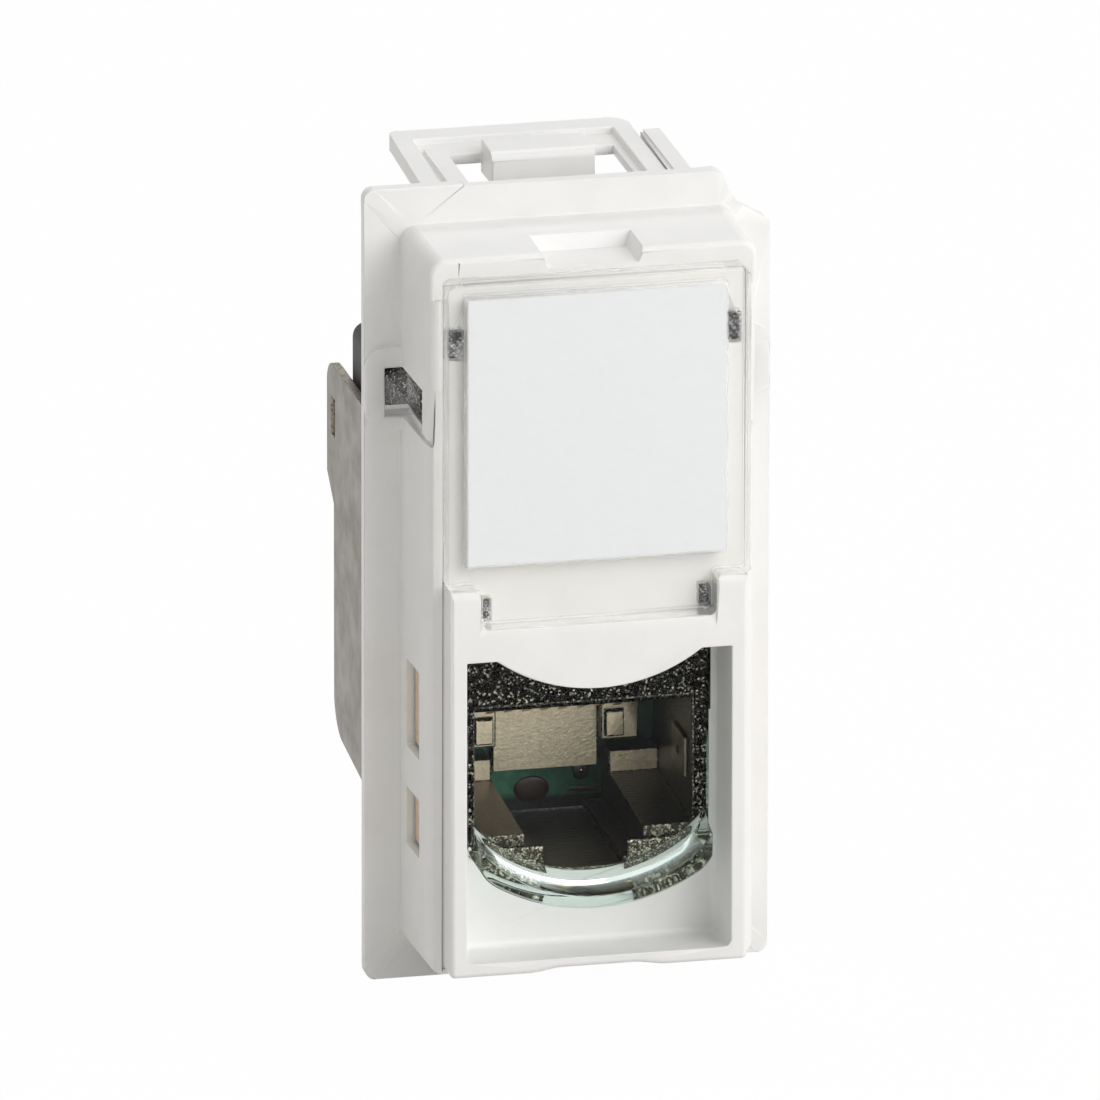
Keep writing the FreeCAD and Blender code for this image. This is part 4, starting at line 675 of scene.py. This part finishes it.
def button(x, z, half_x, half_z, face, rise, roundness=1.0):
    """Low dome on an upright face, from a square grid whose u and v run from -1 to 1.

    The grid is pressed round: u shrinks by the root of 1 - roundness * v * v / 2, and v likewise. The dome's
    height is rise times the root of (1 - u * u) * (1 - v * v).
    """
    u, v = np.meshgrid(np.linspace(-1, 1, DOME_GRID), np.linspace(-1, 1, DOME_GRID))
    across = x + half_x * (u * np.sqrt(1 - roundness * v**2 / 2))
    upwards = z + half_z * (v * np.sqrt(1 - roundness * u**2 / 2))
    inside = np.clip((1 - u**2) * (1 - v**2), 0, 1)
    front = np.stack([across, face - DOME_LIFT - rise * np.sqrt(inside), upwards], -1)
    rear = np.stack([across, np.full_like(u, face), upwards], -1)
    return closed_shell(front, rear)


def apron_surface(side):
    """Half of the casting's face below the port, upright, from just over the lip's lower arc to a level top.

    Rows share out the height between the two evenly; the depth waves slightly, by a sine of Z times one of X.
    """
    x = side * np.linspace(APRON_IN, APRON_OUT, APRON_GRID[0])[::side]
    share = np.linspace(0, 1, APRON_GRID[1])[:, None]
    low = arc_height(x, LIP_HALF, LIP_LOW, LIP_LOW_RISE) + APRON_ABOVE_LIP
    z = low * (1 - share) + APRON_TOP * share
    wide = np.broadcast_to(x, z.shape)
    waves = APRON_WAVE * np.sin(APRON_WAVES[1] * z) * np.sin(APRON_WAVES[0] * wide)
    front = np.stack([wide, APRON_FACE + waves, z], -1)
    rear = np.stack([wide, np.full_like(z, APRON_BACK), z], -1)
    return closed_shell(front, rear)


def arc_height(x, half, middle, rise):
    """Height over x of the circle arc through (0, middle) and (half, middle + rise)."""
    radius = (half**2 + rise**2) / (2 * rise)
    return middle + radius - np.sqrt(radius**2 - np.minimum(np.abs(x), half * ARC_HELD) ** 2)


def lip_profile():
    """Section of the finger lip from the foot upwards: depths, with heights over its lower and its upper arc.

    A rounded lower edge, the upright front, a rounding of TOP_ROUND tangent to the front and to the top, the
    top with a shallow hollow of sine form, and a hollow rounding of ROOT_ROUND that runs out on the plate.
    """
    fall = math.atan2(LIP_TOP_FALL, SHUTTER_FRONT - LIP_FRONT)
    turn = math.pi / 2 - fall
    quarter = np.linspace(math.pi / 2, 0, 6)
    foot_depth = LIP_FRONT + LIP_FOOT_ROUND * (1 - np.cos(quarter))
    foot = np.stack([foot_depth, LIP_FOOT_ROUND * (1 - np.sin(quarter))], -1)
    front_top = -LIP_TOP_FALL - TOP_ROUND * math.tan(turn / 2)
    sweep = np.linspace(0, turn, 8)
    shoulder_depth = LIP_FRONT + TOP_ROUND * (1 - np.cos(sweep))
    shoulder = np.stack([shoulder_depth, front_top + TOP_ROUND * np.sin(sweep)], -1)
    root_top = ROOT_ROUND * math.tan(turn / 2)
    back = np.linspace(turn, 0, 8)
    root_depth = SHUTTER_FRONT - ROOT_ROUND * (1 - np.cos(back))
    root = np.stack([root_depth, root_top - ROOT_ROUND * np.sin(back)], -1)
    share = np.linspace(0, 1, 14)[1:-1, None]
    top = shoulder[-1] * (1 - share) + root[0] * share
    top[:, 1] -= TOP_HOLLOW * np.sin(math.pi * share[:, 0])
    return foot, np.concatenate([shoulder, top, root])


def shutter_surface():
    """Closed shell of the shutter as a height field seen from the front.

    Columns run up the plate and crowd at the lip's ends and the plate's edges. Rows follow the lip's lower
    arc, then its upper arc, and level out above. Each point's depth is the lip's section between the lip's
    ends and the plate's face beyond them. Every outer edge is rounded by a quarter circle over EDGE_ROUND.
    """
    quarter = np.linspace(0, math.pi / 2, 5)
    inset = EDGE_ROUND * (1 - np.sin(quarter))
    end_in = LIP_HALF - LIP_END_ROUND * (1 - np.sin(quarter))
    inner = np.linspace(0, end_in[0], LIP_COLUMNS)[:-1]
    beyond = LIP_HALF + np.array(PAST_LIP)
    half_columns = np.concatenate([inner, end_in, beyond])
    end_step = np.concatenate([np.zeros(len(inner)), LIP_END_ROUND * (1 - np.cos(quarter))])
    count = len(half_columns)
    edge_count = len(inset)
    foot, upper = lip_profile()

    x_lip = np.concatenate([half_columns, np.full(edge_count, SHUTTER_HALF) - inset])
    corner = np.clip(np.abs(x_lip) - (SHUTTER_HALF - FOOT_CORNER), 0, FOOT_CORNER)
    low = arc_height(x_lip, LIP_HALF, LIP_LOW, LIP_LOW_RISE)
    low = low + FOOT_CORNER - np.sqrt(FOOT_CORNER**2 - corner**2)
    high = arc_height(x_lip, LIP_HALF, LIP_TOP, LIP_TOP_RISE)

    on_lip = np.arange(len(x_lip)) < count - len(beyond)
    depth_rows = []
    height_rows = []
    for depth, rise in foot:
        height_rows.append(low + rise)
        depth_rows.append(depth)
    face_top = high + upper[0, 1]
    for share in np.linspace(0, 1, 5)[1:-1]:
        height_rows.append((low + foot[-1, 1]) * (1 - share) + face_top * share)
        depth_rows.append(LIP_FRONT)
    for depth, rise in upper:
        height_rows.append(high + rise)
        depth_rows.append(depth)
    start = height_rows[-1]
    for share in PLATE_ROWS:
        height_rows.append(start * (1 - share) + SHOULDER_Z * share)
        depth_rows.append(SHUTTER_FRONT)
    heights = np.array(height_rows)
    depths = np.where(on_lip[None, :], np.array(depth_rows)[:, None], SHUTTER_FRONT)
    step = np.concatenate([end_step, np.zeros(len(x_lip) - len(end_step))])
    depths = np.minimum(depths + step[None, :] * (depths < SHUTTER_FRONT), SHUTTER_FRONT)

    widths = [SHUTTER_HALF] * len(heights)
    levels = [(SHOULDER_Z + WIDTH_STEP, SHOULDER_HALF), (HEADER_LOW - WIDTH_STEP, SHOULDER_HALF)]
    levels += [(HEADER_LOW, HEADER_HALF)]
    levels += [(HEADER_TOP - gap, HEADER_HALF) for gap in inset]
    for level, half in levels:
        heights = np.vstack([heights, np.full(len(x_lip), level)])
        depths = np.vstack([depths, np.full(len(x_lip), SHUTTER_FRONT)])
        widths.append(half)
    x = np.tile(x_lip, (len(heights), 1))
    x[:, count:] = np.array(widths)[:, None] - inset[None, :]

    away_x = np.clip(1 - (np.array(widths)[:, None] - x) / EDGE_ROUND, 0, 1)
    away_top = np.clip(1 - (HEADER_TOP - heights) / EDGE_ROUND, 0, 1)
    away_low = np.clip(1 - (heights - heights[:1]) / EDGE_ROUND, 0, 1)
    near_edge = np.minimum(1, np.sqrt(away_x**2 + np.maximum(away_top, away_low) ** 2))
    back = EDGE_ROUND * (1 - np.sqrt(1 - near_edge**2))
    front = np.where(depths < SHUTTER_FRONT - 0.001, depths, SHUTTER_FRONT + back)
    rear = SHUTTER_REAR - back

    def both_halves(values, sign):
        """A half's values and their mirror image, with the given sign, as one grid."""
        return np.concatenate([sign * values[:, :0:-1], values], axis=1)

    grid_x = both_halves(x, -1)
    grid_z = both_halves(heights, 1)
    grids = [np.stack([grid_x, both_halves(y, 1), grid_z], -1) for y in (front, rear)]
    return closed_shell(grids[0], grids[1])


def closed_shell(front, rear):
    """Points and faces of two grids of the same form, the first in front, joined all round their rims."""
    rows, columns = front.shape[:2]
    index = np.arange(rows * columns).reshape(rows, columns)
    second = index + rows * columns
    quads = np.stack([index[:-1, :-1], index[:-1, 1:], index[1:, 1:], index[1:, :-1]], -1).reshape(-1, 4)
    other = np.stack([second[:-1, :-1], second[1:, :-1], second[1:, 1:], second[:-1, 1:]], -1).reshape(-1, 4)
    rim = np.concatenate([index[0, :-1], index[:-1, -1], index[-1, :0:-1], index[:0:-1, 0]])
    following = np.roll(rim, -1)
    offset = rows * columns
    wall = np.stack([following, rim, rim + offset, following + offset], -1)
    points = np.concatenate([front.reshape(-1, 3), rear.reshape(-1, 3)])
    return points, np.concatenate([quads, other, wall])


for node in sorted(NODES):
    if node == "shutter":
        surface_piece("shutter_finished", *shutter_surface(), "tinted_clear", "shutter")
    elif node.startswith("contact_") and node != "contact_carrier":
        finished(node, CONTACT_EDGE)
    elif node.startswith("idc_blade_"):
        finished(node, BLADE_EDGE, 1)
    else:
        piece = finished(node, EDGE[node])
        if node in ("left_cover", "right_cover"):
            shear_edges(piece)
        elif node == "jack_shell":
            plate_port(piece)

for label, side in SIDES:
    surface_piece("casting_apron_" + label, *apron_surface(side), "die_cast", "jack_shell", False, NOTCH_CAST)
for label, side in SIDES:
    for end, (x, z, half_x, half_z) in HOOK_ENDS.items():
        shell = button(side * x, z, half_x, half_z, HOOK_END_FACE, 0.0, HOOK_ROUNDNESS)
        surface_piece(f"hook_end_{end}_{label}", *shell, "clear_plastic", "label_window", False, HOOK_FACE)
    strip = button(side * SEAM_X, SEAM_MIDDLE_Z, SEAM_HALF, SEAM_HALF_Z, SEAM_FACE, 0.0, 0.0)
    surface_piece("seam_strip_" + label, *strip, "white_plastic", "front_bezel", False)
for label, place, tone, slot, holder in BOARD_MARKS:
    surface_piece(label, *button(*place), slot, holder, False, MARK_TONE[tone])


def background_rays(tree):
    """Whether a ray shows the white background: the camera's own, a mirrored or a refracted one."""
    path = tree.nodes.new("ShaderNodeLightPath")
    bounced = larger(tree, path.outputs["Is Glossy Ray"], path.outputs["Is Transmission Ray"])
    return larger(tree, path.outputs["Is Camera Ray"], bounced)


def stage_material():
    """Pale floor that is seen as nearly white, with the object's soft shadow still on it."""
    made, tree, shader = shader_of("pale_floor")
    settings(shader, Base_Color=(*FLOOR_COLOUR, 1), Roughness=0.9)
    white = tree.nodes.new("ShaderNodeEmission")
    white.inputs["Strength"].default_value = 1.0
    share = tree.nodes.new("ShaderNodeMath")
    share.operation = "MULTIPLY"
    share.inputs[1].default_value = WHITE_SHARE
    mix = tree.nodes.new("ShaderNodeMixShader")
    tree.links.new(background_rays(tree), share.inputs[0])
    tree.links.new(share.outputs[0], mix.inputs["Fac"])
    tree.links.new(shader.outputs["BSDF"], mix.inputs[1])
    tree.links.new(white.outputs["Emission"], mix.inputs[2])
    tree.links.new(mix.outputs["Shader"], tree.nodes["Material Output"].inputs["Surface"])
    return made


def floor_and_backdrop():
    """Floor that runs level and then sweeps up behind: a straight, a quarter circle and a straight wall."""
    low = cad_low[2]
    turn = np.linspace(0, math.pi / 2, FLOOR_STEPS)
    wall = FLOOR_HALF + FLOOR_CURVE
    along = np.concatenate(([-FLOOR_HALF], FLOOR_HALF + FLOOR_CURVE * np.sin(turn), [wall]))
    rise = np.concatenate(([0], FLOOR_CURVE * (1 - np.cos(turn)), [FLOOR_CURVE + BACKDROP_HEIGHT]))
    across = np.array([-2 * FLOOR_HALF, 2 * FLOOR_HALF])
    y, x = np.meshgrid(along, across, indexing="ij")
    z = np.repeat(rise[:, None] + low, 2, axis=1)
    points = np.stack([x, y, z], -1).reshape(-1, 3)
    start = 2 * np.arange(len(along) - 1)
    faces = np.stack([start, start + 1, start + 3, start + 2], -1)
    mesh = bpy.data.meshes.new("studio_floor")
    mesh.from_pydata(points.tolist(), [], faces.tolist())
    smooth(mesh)
    mesh.materials.append(stage_material())
    placed("studio_floor", mesh)


def soft_box(name, towards, level, distance, size, colour=(1, 1, 1)):
    """Square lamp that gives a white surface facing it the named brightness."""
    data = bpy.data.lights.new(name, "AREA")
    data.shape = "SQUARE"
    data.size = size
    data.color = colour
    data.energy = level * (math.pi * distance) ** 2
    lamp = placed(name, data)
    direction = Vector(towards).normalized()
    lamp.location = direction * distance
    lamp.rotation_euler = direction.to_track_quat("Z", "Y").to_euler()


def sky():
    """Grey light from all round, weaker in front than behind, that is seen as white."""
    world = bpy.data.worlds.new("studio_sky")
    world.use_nodes = True
    tree = world.node_tree
    background = tree.nodes["Background"]
    background.inputs["Color"].default_value = (1, 1, 1, 1)
    place = tree.nodes.new("ShaderNodeTexCoord")
    parts = tree.nodes.new("ShaderNodeSeparateXYZ")
    tree.links.new(place.outputs["Generated"], parts.inputs["Vector"])
    level = spread(tree, parts.outputs["Y"], -1, 1, SKY_FRONT, SKY_BACK)
    tree.links.new(level, background.inputs["Strength"])
    white = tree.nodes.new("ShaderNodeBackground")
    white.inputs["Color"].default_value = (1, 1, 1, 1)
    mix = tree.nodes.new("ShaderNodeMixShader")
    tree.links.new(background_rays(tree), mix.inputs["Fac"])
    tree.links.new(background.outputs["Background"], mix.inputs[1])
    tree.links.new(white.outputs["Background"], mix.inputs[2])
    tree.links.new(mix.outputs["Shader"], tree.nodes["World Output"].inputs["Surface"])
    bpy.context.scene.world = world


def camera():
    """Long lens at the fitted direction, moved so that the origin falls where the photo has it."""
    turn, rise, roll = (math.radians(v) for v in (CAMERA_TURN, CAMERA_RISE, CAMERA_ROLL))
    right = Vector((math.cos(turn), -math.sin(turn), 0))
    back = Vector((-math.sin(turn) * math.cos(rise), -math.cos(turn) * math.cos(rise), math.sin(rise)))
    up = back.cross(right)
    pixel = CAMERA_DISTANCE * MM / FOCAL_PIXELS
    place = back * CAMERA_DISTANCE * MM - right * ORIGIN_RIGHT * pixel + up * ORIGIN_DOWN * pixel
    data = bpy.data.cameras.new("photo_camera")
    data.sensor_width = SENSOR
    data.lens = FOCAL_PIXELS / PHOTO_PIXELS * SENSOR
    data.clip_start = 0.1
    data.clip_end = 20
    taken = placed("photo_camera", data)
    turned = Matrix((right, up, back)).transposed() @ Matrix.Rotation(roll, 3, "Z")
    taken.matrix_world = Matrix.Translation(place) @ turned.to_4x4()
    bpy.context.scene.camera = taken


floor_and_backdrop()
soft_box("key_soft_box", KEY_TOWARDS, KEY_LEVEL, KEY_DISTANCE, KEY_SIZE)
soft_box("left_fill", FILL_TOWARDS, FILL_LEVEL, FILL_DISTANCE, FILL_SIZE, FILL_COLOUR)
soft_box("overhead_lamp", TOP_TOWARDS, TOP_LEVEL, TOP_DISTANCE, TOP_SIZE)
sky()
camera()
bpy.context.scene.view_settings.view_transform = "Standard"
